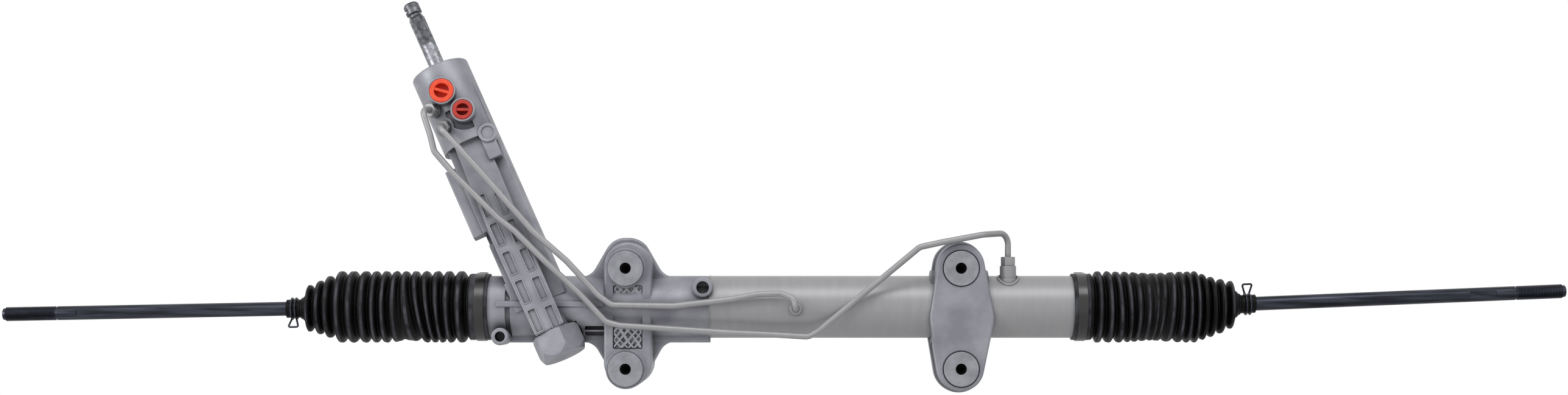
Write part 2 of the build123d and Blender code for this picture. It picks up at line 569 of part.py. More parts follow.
def bracket_outline(grow=0.0):
    """Lozenge of the right mount: a wide middle and a round end about each bushing."""
    upper = Pos(RIGHT_BOLT_X, UPPER_BOLT_Z + 1.5) * Circle(BRACKET_UPPER + grow)
    lower = Pos(RIGHT_BOLT_X, LOWER_BOLT_Z + 1.0) * Circle(BRACKET_LOWER + grow)
    middle = Pos(RIGHT_BOLT_X + 1.0, -BOLT_DROP + 1.0) * Circle(BRACKET_MIDDLE + grow)
    return make_hull(upper.edges() + middle.edges() + lower.edges())


def mount_bracket():
    """Aluminium clamp round the tube: front plate, side walls, bushing bosses and a rear flange."""
    left, right = RIGHT_BOLT_X - CLAMP_HALF, RIGHT_BOLT_X + CLAMP_HALF
    body = front_rounded(slab(bracket_outline(), BRACKET_FRONT, BRACKET_BACK), CAST_EDGE)
    body += slab(bracket_outline(BRACKET_WALL / 2), 0, BRACKET_BACK)
    whole = 4 * BARREL_RADIUS
    clamp = along_x(left, right, BARREL_RADIUS + CLAMP_WALL)
    before_and_behind = slab(Pos(RIGHT_BOLT_X, 0) * Rectangle(whole, whole), -whole, -20)
    before_and_behind += slab(Pos(RIGHT_BOLT_X, 0) * Rectangle(whole, whole), CLAMP_BACK, whole)
    body += clamp - before_and_behind
    core = slab(bracket_outline(-BRACKET_WALL), BRACKET_FRONT + 7, BRACKET_BACK + 18)
    body -= core - along_x(left - 1, right + 1, BARREL_RADIUS + CLAMP_WALL - 0.1)
    for x, z in BOLTS[2:]:
        body += bushing_boss(x, z, BRACKET_FRONT - SLEEVE_FRONT_Y - SLEEVE_DISC_THICKNESS)
    disc_back = SLEEVE_FRONT_Y + SLEEVE_DISC_THICKNESS
    for x, z in BOLTS[2:]:
        body -= bushing_bores(x, z)
        body -= along_y(BRACKET_FRONT - 5, disc_back, SLEEVE_DISC / 2 + DISC_CLEARANCE, x, z)
    return body - along_x(left - 32, right + 32, BARREL_RADIUS)


def bushing_bores(x, z):
    """Bore of one bushing: a close hole for the sleeve, opened out at both ends for the rubber."""
    front = SLEEVE_FRONT_Y + SLEEVE_DISC_THICKNESS
    back = MOUNT_PLANE_Y - SLEEVE_DISC_THICKNESS
    bores = along_y(-60, 60, SLEEVE_OUTER / 2 + 0.5, x, z)
    bores += along_y(-60, front + BUSH_DEPTH, BUSH_OUTER / 2, x, z)
    return bores + along_y(back - BUSH_DEPTH, 60, BUSH_OUTER / 2, x, z)


def mount_sleeves():
    """Steel sleeve of each bushing, with the round disc that its bolt head seats on."""
    sleeves = []
    for x, z in BOLTS:
        sleeve = along_y(SLEEVE_FRONT_Y, MOUNT_PLANE_Y, SLEEVE_OUTER / 2, x, z)
        sleeve += along_y(SLEEVE_FRONT_Y, SLEEVE_FRONT_Y + SLEEVE_DISC_THICKNESS, SLEEVE_DISC / 2, x, z)
        sleeves.append(sleeve - along_y(-80, 80, SLEEVE_BORE / 2, x, z))
    return sleeves


def mount_washers():
    """Rear disc pressed on the end of each sleeve."""
    back = MOUNT_PLANE_Y - SLEEVE_DISC_THICKNESS
    washers = []
    for x, z in BOLTS:
        disc = along_y(back, MOUNT_PLANE_Y, SLEEVE_DISC / 2, x, z)
        washers.append(disc - along_y(back, MOUNT_PLANE_Y, SLEEVE_OUTER / 2, x, z))
    return washers


def mount_bushes():
    """Rubber rings round both ends of each sleeve."""
    front = SLEEVE_FRONT_Y + SLEEVE_DISC_THICKNESS
    back = MOUNT_PLANE_Y - SLEEVE_DISC_THICKNESS
    rings = []
    for x, z in BOLTS:
        for start in (front, back - BUSH_DEPTH):
            rings.append(along_y(start, start + BUSH_DEPTH, BUSH_OUTER / 2, x, z)
                         - along_y(start, start + BUSH_DEPTH, SLEEVE_OUTER / 2, x, z))
    return rings


# Pinion, valve and input shaft

LOWER_BEARING_TOP = LOWER_SEAT + LOWER_BEARING_WIDTH
PINION_SHAFT_RADIUS = 8.5
NEEDLE_BOTTOM = 20.0
NEEDLE_TOP = 32.0
VALVE_BOTTOM = VALVE_FLOOR + 3.0
VALVE_TOP = VALVE_CEILING - 3.0
INPUT_BOTTOM = VALVE_BOTTOM + 10.0
INPUT_JOURNAL = 10.0
INPUT_CORE = 12.5
SPLINE_FROM_TOP = 17.0
SPLINE_LENGTH = 29.0
SPLINE_TEETH = 36
SPLINE_GROOVE = 0.8
NUB_NECK = 6.0
RING_FROM_TOP = 2.0           # snap ring's groove below the tower's top
RING_GROOVE = 1.6


def involute_half_angle(radius, base, rolling, half_thickness_angle):
    """Half the angle that a tooth takes up at a radius outside its base circle."""
    def involute(value):
        pressure = math.acos(min(1.0, base / value))
        return math.tan(pressure) - pressure
    return half_thickness_angle + involute(rolling) - involute(max(radius, base))


def pinion_section():
    """Cross section of the pinion: involute flanks, each closed by radial lines below the base circle."""
    transverse = math.atan(math.tan(math.radians(PRESSURE_ANGLE)) / math.cos(LEAN))
    base = ROLLING_RADIUS * math.cos(transverse)
    tip = ROLLING_RADIUS + PINION_ADDENDUM
    root = ROLLING_RADIUS - RACK_ADDENDUM - PINION_ROOT_CLEARANCE
    half = PINION_THICKNESS / math.cos(LEAN) / (2 * ROLLING_RADIUS)
    radii = [base + (tip - base) * step / FLANK_STEPS for step in range(FLANK_STEPS + 1)]
    section = Circle(root)
    for tooth in range(PINION_TEETH):
        middle = 2 * math.pi * tooth / PINION_TEETH - math.pi / 2
        flank = [(r, involute_half_angle(r, base, ROLLING_RADIUS, half)) for r in radii]
        right = [(r * math.cos(middle + a), r * math.sin(middle + a)) for r, a in flank]
        left = [(r * math.cos(middle - a), r * math.sin(middle - a)) for r, a in flank]
        foot = flank[0][1]
        inner = root - 0.8
        inner_right = (inner * math.cos(middle + foot), inner * math.sin(middle + foot))
        inner_left = (inner * math.cos(middle - foot), inner * math.sin(middle - foot))
        outline = [Line(inner_right, right[0]), Spline(right), Line(right[-1], left[-1]),
                   Spline(list(reversed(left))), Line(left[0], inner_left), Line(inner_left, inner_right)]
        section += make_face(Wire(outline))
    return section


def pinion():
    """Helical pinion with its long shaft up to the valve and a journal below."""
    lead = 2 * math.pi * ROLLING_RADIUS / math.tan(LEAN)
    guide = Helix(pitch=lead, height=PINION_FACE, radius=ROLLING_RADIUS, lefthand=True)
    path = Line((0, 0, 0), (0, 0, PINION_FACE))
    gear = sweep(pinion_section(), path=path, binormal=guide)
    turn = math.degrees(PINION_FACE / 2 * math.tan(LEAN) / ROLLING_RADIUS)
    gear = Pos(0, 0, -PINION_FACE / 2) * Rot(0, 0, 180 + turn) * gear
    body = tower_plane() * gear
    body += on_tower(LOWER_SEAT - 5.5, -PINION_FACE / 2, LOWER_JOURNAL)
    body += on_tower(LOWER_BEARING_TOP, -PINION_FACE / 2, 9.5)
    body += on_tower(PINION_FACE / 2, VALVE_BOTTOM + 3, PINION_SHAFT_RADIUS)
    body += on_tower(VALVE_BOTTOM, VALVE_BOTTOM + 5, 16.0)
    body -= on_tower(BAR_BOTTOM - 2, VALVE_BOTTOM + 10, TORSION_BAR_RADIUS + FIT)
    return body - cross_pin(BAR_BOTTOM + PIN_INSET, 2 * PINION_SHAFT_RADIUS + 3, PIN_RADIUS)


BAR_BOTTOM = 140.0
BAR_TOP = SHAFT_TOP - 8.0
PIN_INSET = 7.0               # cross pins from the ends of the torsion bar
PIN_RADIUS = 1.5


def cross_pin(height, length, radius):
    """Small pin across the tower's axis."""
    plane = Plane(origin=CROSSING + TOWER_AXIS * height - TOWER_RIGHT * length / 2, z_dir=TOWER_RIGHT)
    return plane * Cylinder(radius, length, align=FROM_BASE)


def torsion_bar():
    """Spring steel bar, thick at both pinned ends, that centres the valve."""
    ends = 15.0
    bar = revolved_tower([(0, BAR_BOTTOM), (TORSION_BAR_RADIUS, BAR_BOTTOM),
                          (TORSION_BAR_RADIUS, BAR_BOTTOM + ends),
                          (TORSION_WAIST, BAR_BOTTOM + ends + 4), (TORSION_WAIST, BAR_TOP - ends - 4),
                          (TORSION_BAR_RADIUS, BAR_TOP - ends), (TORSION_BAR_RADIUS, BAR_TOP), (0, BAR_TOP)])
    bar -= cross_pin(BAR_BOTTOM + PIN_INSET, 4 * TORSION_BAR_RADIUS, PIN_RADIUS)
    return bar - cross_pin(BAR_TOP - PIN_INSET, 4 * TORSION_BAR_RADIUS, PIN_RADIUS)


def input_shaft():
    """Splined input shaft: valve core below, sealed journal, serrations and a pilot nub at the end."""
    spline_top = SHAFT_TOP - SPLINE_FROM_TOP
    spline_bottom = spline_top - SPLINE_LENGTH
    body = revolved_tower([(0, INPUT_BOTTOM), (INPUT_CORE, INPUT_BOTTOM), (INPUT_CORE, VALVE_TOP),
                           (INPUT_JOURNAL, VALVE_TOP), (INPUT_JOURNAL, SEAL_FLOOR - 1),
                           (SHAFT_RADIUS, SEAL_FLOOR - 1), (SHAFT_RADIUS, spline_top),
                           (NUB_NECK, spline_top + 2.5), (NUB_NECK, SHAFT_TOP - 12),
                           (SHAFT_RADIUS, SHAFT_TOP - 11), (SHAFT_RADIUS, SHAFT_TOP - 2),
                           (SHAFT_RADIUS - 1.3, SHAFT_TOP), (0, SHAFT_TOP)])
    for tooth in range(SPLINE_TEETH):
        groove = Plane(origin=CROSSING + TOWER_AXIS * spline_bottom, x_dir=TOWER_RIGHT, z_dir=TOWER_AXIS)
        groove = groove * Rot(0, 0, 360 * tooth / SPLINE_TEETH) * Pos(SHAFT_RADIUS, 0) * Rot(0, 0, 45)
        body -= extrude(groove * Rectangle(SPLINE_GROOVE, SPLINE_GROOVE), amount=SPLINE_LENGTH + 3)
    body -= tower_block(-12, -4.6, -12, 12, SHAFT_TOP - 8.0, SHAFT_TOP - 4.5)
    body -= on_tower(INPUT_BOTTOM - 1, BAR_TOP + 1, TORSION_BAR_RADIUS + FIT)
    return body - cross_pin(BAR_TOP - PIN_INSET, 2 * SHAFT_RADIUS + 3, PIN_RADIUS)


def valve_sleeve():
    """Ported sleeve pinned to the pinion, with grooves for its sealing rings."""
    sleeve = tube_on_tower(VALVE_BOTTOM + 5, VALVE_TOP, VALVE_BORE - 0.4, INPUT_CORE + FIT)
    for height in VALVE_RINGS:
        sleeve -= tube_on_tower(height, height + 2.2, VALVE_BORE, VALVE_BORE - 2.0)
    for height in VALVE_PORTS:
        for turn in range(3):
            hole = tower_plane(height) * Rot(0, 0, 120 * turn) * Rot(90, 0, 0)
            sleeve -= hole * Cylinder(1.6, VALVE_BORE + 2, align=FROM_BASE)
    return sleeve


VALVE_RING_PITCH = (VALVE_TOP - VALVE_BOTTOM - 4.0) / 4
VALVE_RINGS = [VALVE_BOTTOM + 7.0 + VALVE_RING_PITCH * n for n in range(4)]
VALVE_PORTS = [ring + VALVE_RING_PITCH / 2 + 1.0 for ring in VALVE_RINGS[:3]]


def valve_rings():
    """Four plastic sealing rings round the valve sleeve."""
    return [tube_on_tower(height + 0.1, height + 2.1, VALVE_BORE - FIT, VALVE_BORE - 2.0 + FIT)
            for height in VALVE_RINGS]


LOWER_BALL = 2.0
LOWER_BALL_PITCH = 10.7


def bearing_race(inner, outer):
    """Race of the ball bearing under the pinion, with its ball groove."""
    middle = LOWER_SEAT + LOWER_BEARING_WIDTH / 2
    section = Pos((inner + outer) / 2, middle) * Rectangle(outer - inner, LOWER_BEARING_WIDTH)
    section -= Pos(LOWER_BALL_PITCH, middle) * Circle(LOWER_BALL + FIT)
    return tower_plane() * revolve(Plane.XZ * section, axis=Axis.Z, revolution_arc=360)


def lower_bearing_outer():
    """Outer race, pushed into the casting."""
    return bearing_race(LOWER_BALL_PITCH + 1.1, LOWER_BORE - FIT)


def lower_bearing_inner():
    """Inner race, clamped on the pinion's journal."""
    return bearing_race(LOWER_JOURNAL + FIT, LOWER_BALL_PITCH - 1.1)


def lower_bearing_balls():
    """Ring of balls between the races."""
    count = 12
    plane = tower_plane(LOWER_SEAT + LOWER_BEARING_WIDTH / 2)
    return [plane * Rot(0, 0, 360 * n / count) * Pos(LOWER_BALL_PITCH, 0, 0) * Sphere(LOWER_BALL)
            for n in range(count)]


def pinion_nut():
    """Hexagonal nut that holds the ball bearing on the pinion."""
    nut = extrude(tower_plane(LOWER_SEAT - 5.4) * RegularPolygon(9.5, 6, major_radius=False), amount=5.3)
    return nut - on_tower(LOWER_SEAT - 8, LOWER_SEAT + 1, LOWER_JOURNAL)


def bottom_cap():
    """Hexagonal cap screwed on the bottom of the ridge. A rim inside it holds the bearing up."""
    hexagon = RegularPolygon(CAP_FLATS / 2, 6, major_radius=False)
    cap = extrude(tower_plane(CAP_BOTTOM) * Rot(0, 0, CAP_TURN) * hexagon, amount=CAP_RIM - CAP_BOTTOM)
    chamfer_end = CAP_BOTTOM + 2 * CAP_CHAMFER
    cap = cap & revolved_tower([(0, CAP_BOTTOM), (CAP_CORNER - CAP_CHAMFER, CAP_BOTTOM), (CAP_CORNER, chamfer_end),
                                (CAP_CORNER, CAP_RIM - 2), (CAP_CORNER - 2, CAP_RIM), (0, CAP_RIM)])
    cap -= on_tower(RIDGE_BOTTOM, CAP_RIM + 1, RIDGE_RADIUS)
    return cap + tube_on_tower(RIDGE_BOTTOM - 1, LOWER_SEAT - 0.1, LOWER_BORE - FIT, 12.3)


def needle_bearing():
    """Drawn cup needle bearing above the pinion teeth."""
    shell = tube_on_tower(NEEDLE_BOTTOM, NEEDLE_TOP, SHAFT_BORE - FIT, 10.7)
    count = 18
    rollers = []
    for n in range(count):
        place = tower_plane(NEEDLE_BOTTOM + 1) * Rot(0, 0, 360 * n / count) * Pos(9.6, 0, 0)
        rollers.append(place * Cylinder(1.0, NEEDLE_TOP - NEEDLE_BOTTOM - 2, align=FROM_BASE))
    return [shell] + rollers


def pinion_seal():
    """Lip seal that keeps the valve's oil out of the rack chamber."""
    return tube_on_tower(VALVE_FLOOR - 9, VALVE_FLOOR - 2, SHAFT_BORE - FIT, PINION_SHAFT_RADIUS + FIT)


def top_bearing():
    """Plain bearing of the input shaft."""
    return tube_on_tower(VALVE_CEILING + 1.0, SEAL_FLOOR - 1.2, TOP_BEARING_BORE - FIT, INPUT_JOURNAL + FIT)


def top_seal():
    """Rubber dust and oil seal round the input shaft."""
    top = TOWER_TOP - RING_FROM_TOP - 0.2
    return tube_on_tower(SEAL_FLOOR, top, SEAL_BORE - FIT, SHAFT_RADIUS + FIT)


def snap_ring():
    """Open steel ring in its groove over the top seal."""
    bottom = TOWER_TOP - RING_FROM_TOP + 0.1
    top = bottom + RING_GROOVE - 0.2
    ring = tube_on_tower(bottom, top, SEAL_BORE + 1.1, SEAL_BORE - 2.0)
    return ring - tower_block(-3, 3, -SEAL_BORE - 5, 0, bottom - 1, top + 1)


# Rack, piston and seals

RACK_END = SOCKET_BACK + 2.0
RACK_LEFT = BALL_LEFT + RACK_END
RACK_RIGHT = BALL_RIGHT - RACK_END
PISTON_X = 106.0
PISTON_WIDTH = 18.0
INNER_SEAL_X = -14.0
OUTER_SEAL_X = 240.0


def rack_bar():
    """Toothed rack. Its teeth run straight across, and the pinion's axis leans by its helix angle."""
    pitch = math.pi * MODULE
    body = along_x(RACK_LEFT, RACK_RIGHT, RACK_RADIUS)
    reach = RACK_TRAVEL + TEETH_BEYOND
    count = int(2 * reach / pitch)
    floor = ROLLING_HEIGHT - RACK_DEDENDUM
    start = PINION_CROSSING_X - reach - 4
    teeth_plane = Plane(origin=(0, 0, 0), x_dir=(1, 0, 0), z_dir=(0, math.sin(TILT), math.cos(TILT)))
    length = 2 * reach + 8
    flat = Pos(start + length / 2, -TOOTH_TIP_HEIGHT - 10) * Rectangle(length, 20)
    body -= extrude(teeth_plane * flat, amount=20, both=True)
    slope = math.tan(math.radians(PRESSURE_ANGLE))
    half_space = (PINION_THICKNESS + BACKLASH) / 2
    spaces = []
    for n in range(-count // 2, count // 2 + 1):
        x = PINION_CROSSING_X + n * pitch
        low = half_space - RACK_DEDENDUM * slope
        high = half_space + (RACK_ADDENDUM + 1) * slope
        spaces.append(Polygon((x - low, -floor), (x + low, -floor), (x + high, -TOOTH_TIP_HEIGHT - 1),
                              (x - high, -TOOTH_TIP_HEIGHT - 1), align=None))
    for space in spaces:
        body -= extrude(teeth_plane * space, amount=20, both=True)
    groove = along_x(PISTON_X - PISTON_WIDTH / 2 - 1.7, PISTON_X - PISTON_WIDTH / 2 - 0.1, 20)
    groove += along_x(PISTON_X + PISTON_WIDTH / 2 + 0.1, PISTON_X + PISTON_WIDTH / 2 + 1.7, 20)
    body -= groove - along_x(PISTON_X - 30, PISTON_X + 30, RACK_RADIUS - 1.2)
    body -= along_x(RACK_LEFT - 1, RACK_LEFT + 22, 7.0)
    return body - along_x(RACK_RIGHT - 22, RACK_RIGHT + 1, 7.0)


def piston():
    """Piston on the rack, grooved for its seal."""
    half = PISTON_WIDTH / 2
    body = along_x(PISTON_X - half, PISTON_X + half, CYLINDER_BORE - 0.3)
    body -= along_x(PISTON_X - half - 1, PISTON_X + half + 1, RACK_RADIUS)
    return body - (along_x(PISTON_X - 3, PISTON_X + 3, 30) - along_x(PISTON_X - 3, PISTON_X + 3, 20.0))


def piston_seal():
    """Sealing ring in the piston's groove."""
    return along_x(PISTON_X - 2.9, PISTON_X + 2.9, CYLINDER_BORE - FIT) - along_x(
        PISTON_X - 3, PISTON_X + 3, 20.05)


def piston_rings():
    """Two wire rings that hold the piston in place on the rack."""
    half = PISTON_WIDTH / 2
    rings = []
    for x0 in (PISTON_X - half - 1.6, PISTON_X + half + 0.2):
        rings.append(along_x(x0, x0 + 1.4, RACK_RADIUS + 1.5) - along_x(x0, x0 + 1.4, RACK_RADIUS - 1.1))
    return rings


def inner_seal_carrier():
    """Bush pressed into the tube that closes the left end of the cylinder."""
    carrier = along_x(INNER_SEAL_X - 20, INNER_SEAL_X, CYLINDER_BORE)
    carrier -= along_x(INNER_SEAL_X - 21, INNER_SEAL_X + 1, RACK_RADIUS + CLEAR)
    return carrier - along_x(INNER_SEAL_X - 8, INNER_SEAL_X + 1, 19.0)


def inner_rack_seal():
    """Lip seal on the rack at the cylinder's left end."""
    return along_x(INNER_SEAL_X - 7.5, INNER_SEAL_X - 0.5, 19.0) - along_x(
        INNER_SEAL_X - 8, INNER_SEAL_X, RACK_RADIUS + FIT)


def outer_rack_seal():
    """Lip seal on the rack at the cylinder's right end."""
    return along_x(OUTER_SEAL_X + 0.5, OUTER_SEAL_X + 7.5, 19.0) - along_x(
        OUTER_SEAL_X, OUTER_SEAL_X + 8, RACK_RADIUS + FIT)


def rack_bush():
    """Bush that guides the right end of the rack and closes the cylinder."""
    bush = along_x(OUTER_SEAL_X, STOP_RIGHT, CYLINDER_BORE)
    bush -= along_x(OUTER_SEAL_X - 1, STOP_RIGHT + 1, RACK_RADIUS + FIT)
    return bush - along_x(OUTER_SEAL_X - 1, OUTER_SEAL_X + 8, 19.0)


def bush_ring():
    """Wire ring that keeps the rack bush in the tube."""
    return along_x(STOP_RIGHT + 0.1, STOP_RIGHT + 1.9, CYLINDER_BORE) - along_x(
        STOP_RIGHT, STOP_RIGHT + 2, MOUTH_BORE_RADIUS - 1.5)


# Ball joints and tie rods


def outward(side):
    """Plane at a ball's centre whose Z points out along the rack axis."""
    ball = BALL_LEFT if side < 0 else BALL_RIGHT
    return Plane(origin=(ball, 0, 0), x_dir=(0, -side, 0), z_dir=(side, 0, 0))


def rod_plane(side):
    """Plane at a ball's centre whose Z points out along the tie rod as it hangs."""
    angle = math.radians(-LEFT_DROOP if side < 0 else RIGHT_RISE)
    ball = BALL_LEFT if side < 0 else BALL_RIGHT
    axis = (side * math.cos(angle), 0, math.sin(angle))
    return Plane(origin=(ball, 0, 0), x_dir=(0, -side, 0), z_dir=axis)


def turned(plane, points):
    """Closed outline of (radius, height) pairs turned once round a plane's Z axis."""
    outline = make_face(Plane.XZ * Polyline([(r, h) for r, h in points], close=True))
    return plane * revolve(outline, axis=Axis.Z, revolution_arc=360)


def socket(side):
    """Steel socket of an inner ball joint, screwed into the end of the rack."""
    inner = BALL_RADIUS + SEAT_WALL + 2 * FIT
    body = turned(Plane.XY, [(0, -SOCKET_BACK), (15.0, -SOCKET_BACK), (SOCKET_RADIUS, -SOCKET_BACK + 3),
                             (SOCKET_RADIUS, SOCKET_FRONT - 5), (SOCKET_RADIUS - 2.0, SOCKET_FRONT),
                             (0, SOCKET_FRONT)])
    body -= Sphere(inner)
    body += Pos(0, 0, -SOCKET_BACK - 20) * Cylinder(6.9, 20, align=FROM_BASE)
    for flat_side in (-1, 1):
        body -= Pos(flat_side * (SOCKET_RADIUS + 8), 0, -SOCKET_BACK + 4) * Box(20, 40, 8)
    return outward(side) * body


def lock_washer(side):
    """Tabbed washer between the rack's end and the socket."""
    washer = Pos(0, 0, -SOCKET_BACK - 2) * (Cylinder(15.5, 2, align=FROM_BASE)
                                            - Cylinder(7.0, 2, align=FROM_BASE))
    return outward(side) * washer


def ball_seat(side):
    """Plastic liner between the ball and its socket."""
    seat = Sphere(BALL_RADIUS + SEAT_WALL + FIT) - Sphere(BALL_RADIUS + FIT)
    seat -= Pos(0, 0, 5.0) * Cylinder(40, 60, align=FROM_BASE)
    return outward(side) * seat


def tie_rod(side):
    """Forged tie rod: ball, neck, long round shank and its threaded end."""
    end = LEFT_ROD_END if side < 0 else RIGHT_ROD_END
    ball = BALL_LEFT if side < 0 else BALL_RIGHT
    angle = math.radians(LEFT_DROOP if side < 0 else RIGHT_RISE)
    thread = LEFT_THREAD if side < 0 else RIGHT_THREAD
    length = abs(end - ball) / math.cos(angle)
    start = length - thread
    root = TIE_THREAD_RADIUS - 0.9
    rod = Sphere(BALL_RADIUS)
    outline = [(0, 0), (6.2, 0), (6.2, 22), (TIE_ROD_RADIUS, 28), (TIE_ROD_RADIUS, start - 2), (root, start)]
    turns = int((thread - 2) / TIE_THREAD_PITCH)
    for turn in range(turns):
        z = start + turn * TIE_THREAD_PITCH
        outline += [(TIE_THREAD_RADIUS, z + TIE_THREAD_PITCH / 2), (root, z + TIE_THREAD_PITCH)]
    outline += [(root - 0.4, length - 0.4), (root - 1.0, length), (0, length)]
    rod += turned(Plane.XY, outline)
    for flat_side in (-1, 1):
        rod -= Pos(flat_side * (TIE_ROD_RADIUS + 9.0), 0, start - 34) * Box(20, 20, 26)
    return rod_plane(side) * rod


# Boots, bands and clips

BAND_START = 3.5              # from the boot's mouth
BAND_WIDTH = 9.0
BAND_CRIMP = (7.0, 12.0, 3.0)
CLIP_WIRE = 1.0               # radius
CLIP_EAR = (9.5, 5.0, 3.5)    # height above the ring, half its width, lean
CLIP_TURN = {-1: 15, 1: 180}  # degrees from straight down, towards the front


def boot_crests(side):
    """Place and radius of every fold of a boot, from the housing outwards."""
    places = LEFT_CRESTS if side < 0 else RIGHT_CRESTS
    taper = LEFT_TAPER if side < 0 else RIGHT_TAPER
    radii = [BOOT_CREST] * (len(places) - len(taper)) + taper
    return list(zip(places, radii))


def boot(side):
    """Rubber bellows from the housing to the tie rod, one thin wall with its folds."""
    mouth = BOOT_MOUTH_LEFT if side < 0 else BOOT_MOUTH_RIGHT
    crests = boot_crests(side)
    neck0, neck1 = LEFT_NECK if side < 0 else RIGHT_NECK
    housing_end = HOUSING_LEFT if side < 0 else TUBE_RIGHT
    cuff_end = housing_end + side * 2.0
    points = [(mouth, BOOT_CUFF), (cuff_end - side * 1.5, BOOT_CUFF), (cuff_end, BOOT_VALLEY + 1.4)]
    for index, (x, radius) in enumerate(crests):
        after = crests[index + 1][0] if index + 1 < len(crests) else neck0 - side * 4
        next_radius = crests[index + 1][1] if index + 1 < len(crests) else radius - 4
        points += [(x - side * 1.6, radius), (x + side * 1.6, radius),
                   ((x + after) / 2, min(radius, next_radius) - FOLD_DEPTH)]
    last_x, last_radius = points[-1]
    points += [(neck0 - side * 3, last_radius - 3)]
    inner = [(x, r - BOOT_WALL) for x, r in reversed(points)]
    inner = [(x, r) for x, r in inner if side * (cuff_end - x) < 1.0]
    cuff = [(cuff_end - side * 1.5, BARREL_RADIUS + FIT), (mouth, BARREL_RADIUS + FIT)]
    body = revolved_x(points + inner + cuff)
    rod = rod_plane(side)
    ball = BALL_LEFT if side < 0 else BALL_RIGHT
    near = abs(neck0 - ball)
    far = abs(neck1 - ball)
    shoulder = last_radius - 2.2
    collar = [(TIE_ROD_RADIUS + FIT, near - 7), (shoulder, near - 7), (shoulder, near - 2.5),
              (NECK_RADIUS, near + 2), (NECK_RADIUS, far), (TIE_ROD_RADIUS + FIT, far)]
    return body + turned(rod, collar)


def boot_band(side):
    """Steel band that clamps the boot's cuff on the housing."""
    mouth = BOOT_MOUTH_LEFT if side < 0 else BOOT_MOUTH_RIGHT
    x0 = mouth + side * BAND_START
    x1 = x0 + side * BAND_WIDTH
    low, high = min(x0, x1), max(x0, x1)
    band = along_x(low, high, BOOT_CUFF + 1.0)
    band += Pos((low + high) / 2, BOOT_CUFF / 3, BOOT_CUFF) * Box(*BAND_CRIMP)
    return band - along_x(low, high, BOOT_CUFF + FIT)


def boot_clip(side):
    """Spring wire clip round the boot's neck, with its two open ears."""
    neck0, neck1 = LEFT_NECK if side < 0 else RIGHT_NECK
    ball = BALL_LEFT if side < 0 else BALL_RIGHT
    middle = (abs(neck0 - ball) + abs(neck1 - ball)) / 2
    ring_radius = NECK_RADIUS + FIT + CLIP_WIRE
    gap = 2 * CLIP_WIRE
    clip = Pos(0, 0, middle - gap) * Torus(ring_radius, CLIP_WIRE)
    clip += Pos(0, 0, middle + gap) * Torus(ring_radius, CLIP_WIRE)
    height, half, lean = CLIP_EAR
    foot, top = ring_radius - 0.4 * CLIP_WIRE, ring_radius + height
    path = FilletPolyline((0, foot, middle - gap), (-lean, top, middle - half),
                          (-lean, top, middle + half), (0, foot, middle + gap), radius=1.6)
    ear = sweep(Plane(origin=path @ 0, z_dir=path % 0) * Circle(CLIP_WIRE - 0.05), path=path)
    return rod_plane(side) * Rot(0, 0, CLIP_TURN[side]) * (clip + ear)


# Steel lines, nuts and port plugs


def union_point(port, distance):
    """Point on the axis of a union, out from its base."""
    point = Vector(*port[0]) + Vector(*port[1]).normalized() * distance
    return (point.X, point.Y, point.Z)


LONG_LINE = [union_point(UNION_PORTS[0], 7.0), union_point(UNION_PORTS[0], 25.0),
             (-352.5, -33.0, 167.0), (-348.5, -33.5, 151.0),
             (-330.9, -34.5, 130.8), (-287.2, -35.5, 87.1), (-270.0, -36.0, 73.6), (-240.9, -36.5, 44.6),
             (-207.2, -37.0, 13.3), (-181.4, -37.5, -14.4), (-168.1, -37.5, -17.8), (-61.0, -36.0, -24.8),
             (-17.3, -32.0, -26.9), (14.7, -33.0, -28.8), (25.0, -36.0, -22.8), (122.5, -38.5, 58.1),
             (144.3, -38.5, 62.8), (184.0, -36.5, 70.2), (210.5, -12.0, 72.5), (210.5, -12.0, 42.0)]
SHORT_LINE = [union_point(UNION_PORTS[1], 7.0), union_point(UNION_PORTS[1], 23.5),
              (-325.1, -34.5, 155.1), (-306.7, -35.0, 135.0),
              (-274.8, -35.5, 98.4), (-252.7, -36.0, 73.5), (-219.6, -37.0, 44.6), (-188.9, -37.5, 11.5),
              (-176.5, -37.5, 2.1), (-116.3, -37.0, 0.9), (-90.4, -37.0, 3.9), (-60.9, -37.0, 7.4),
              (-34.4, -37.0, 12.4), (-11.9, -37.5, 13.2), (0.5, -40.0, 8.0), (2.5, -41.5, -2.0),
              (2.5, SHORT_LINE_END, -2.0)]


def line_radii(points):
    """Bend radius at each corner, as large as its shorter run allows, up to the bender's own radius."""
    radii = []
    for before, corner, after in zip(points, points[1:], points[2:]):
        a = Vector(*corner) - Vector(*before)
        b = Vector(*after) - Vector(*corner)
        turn = math.radians(a.get_angle(b))
        room = 0.45 * min(a.length, b.length) / math.tan(turn / 2)
        radii.append(min(room, LINE_BEND))
    return radii


def steel_line(points):
    """Bent steel tube through a list of points, with its bore left out."""
    path = FilletPolyline(*points, radius=line_radii(points))
    return sweep(Plane(origin=path @ 0, z_dir=path % 0) * Circle(LINE_RADIUS), path=path)


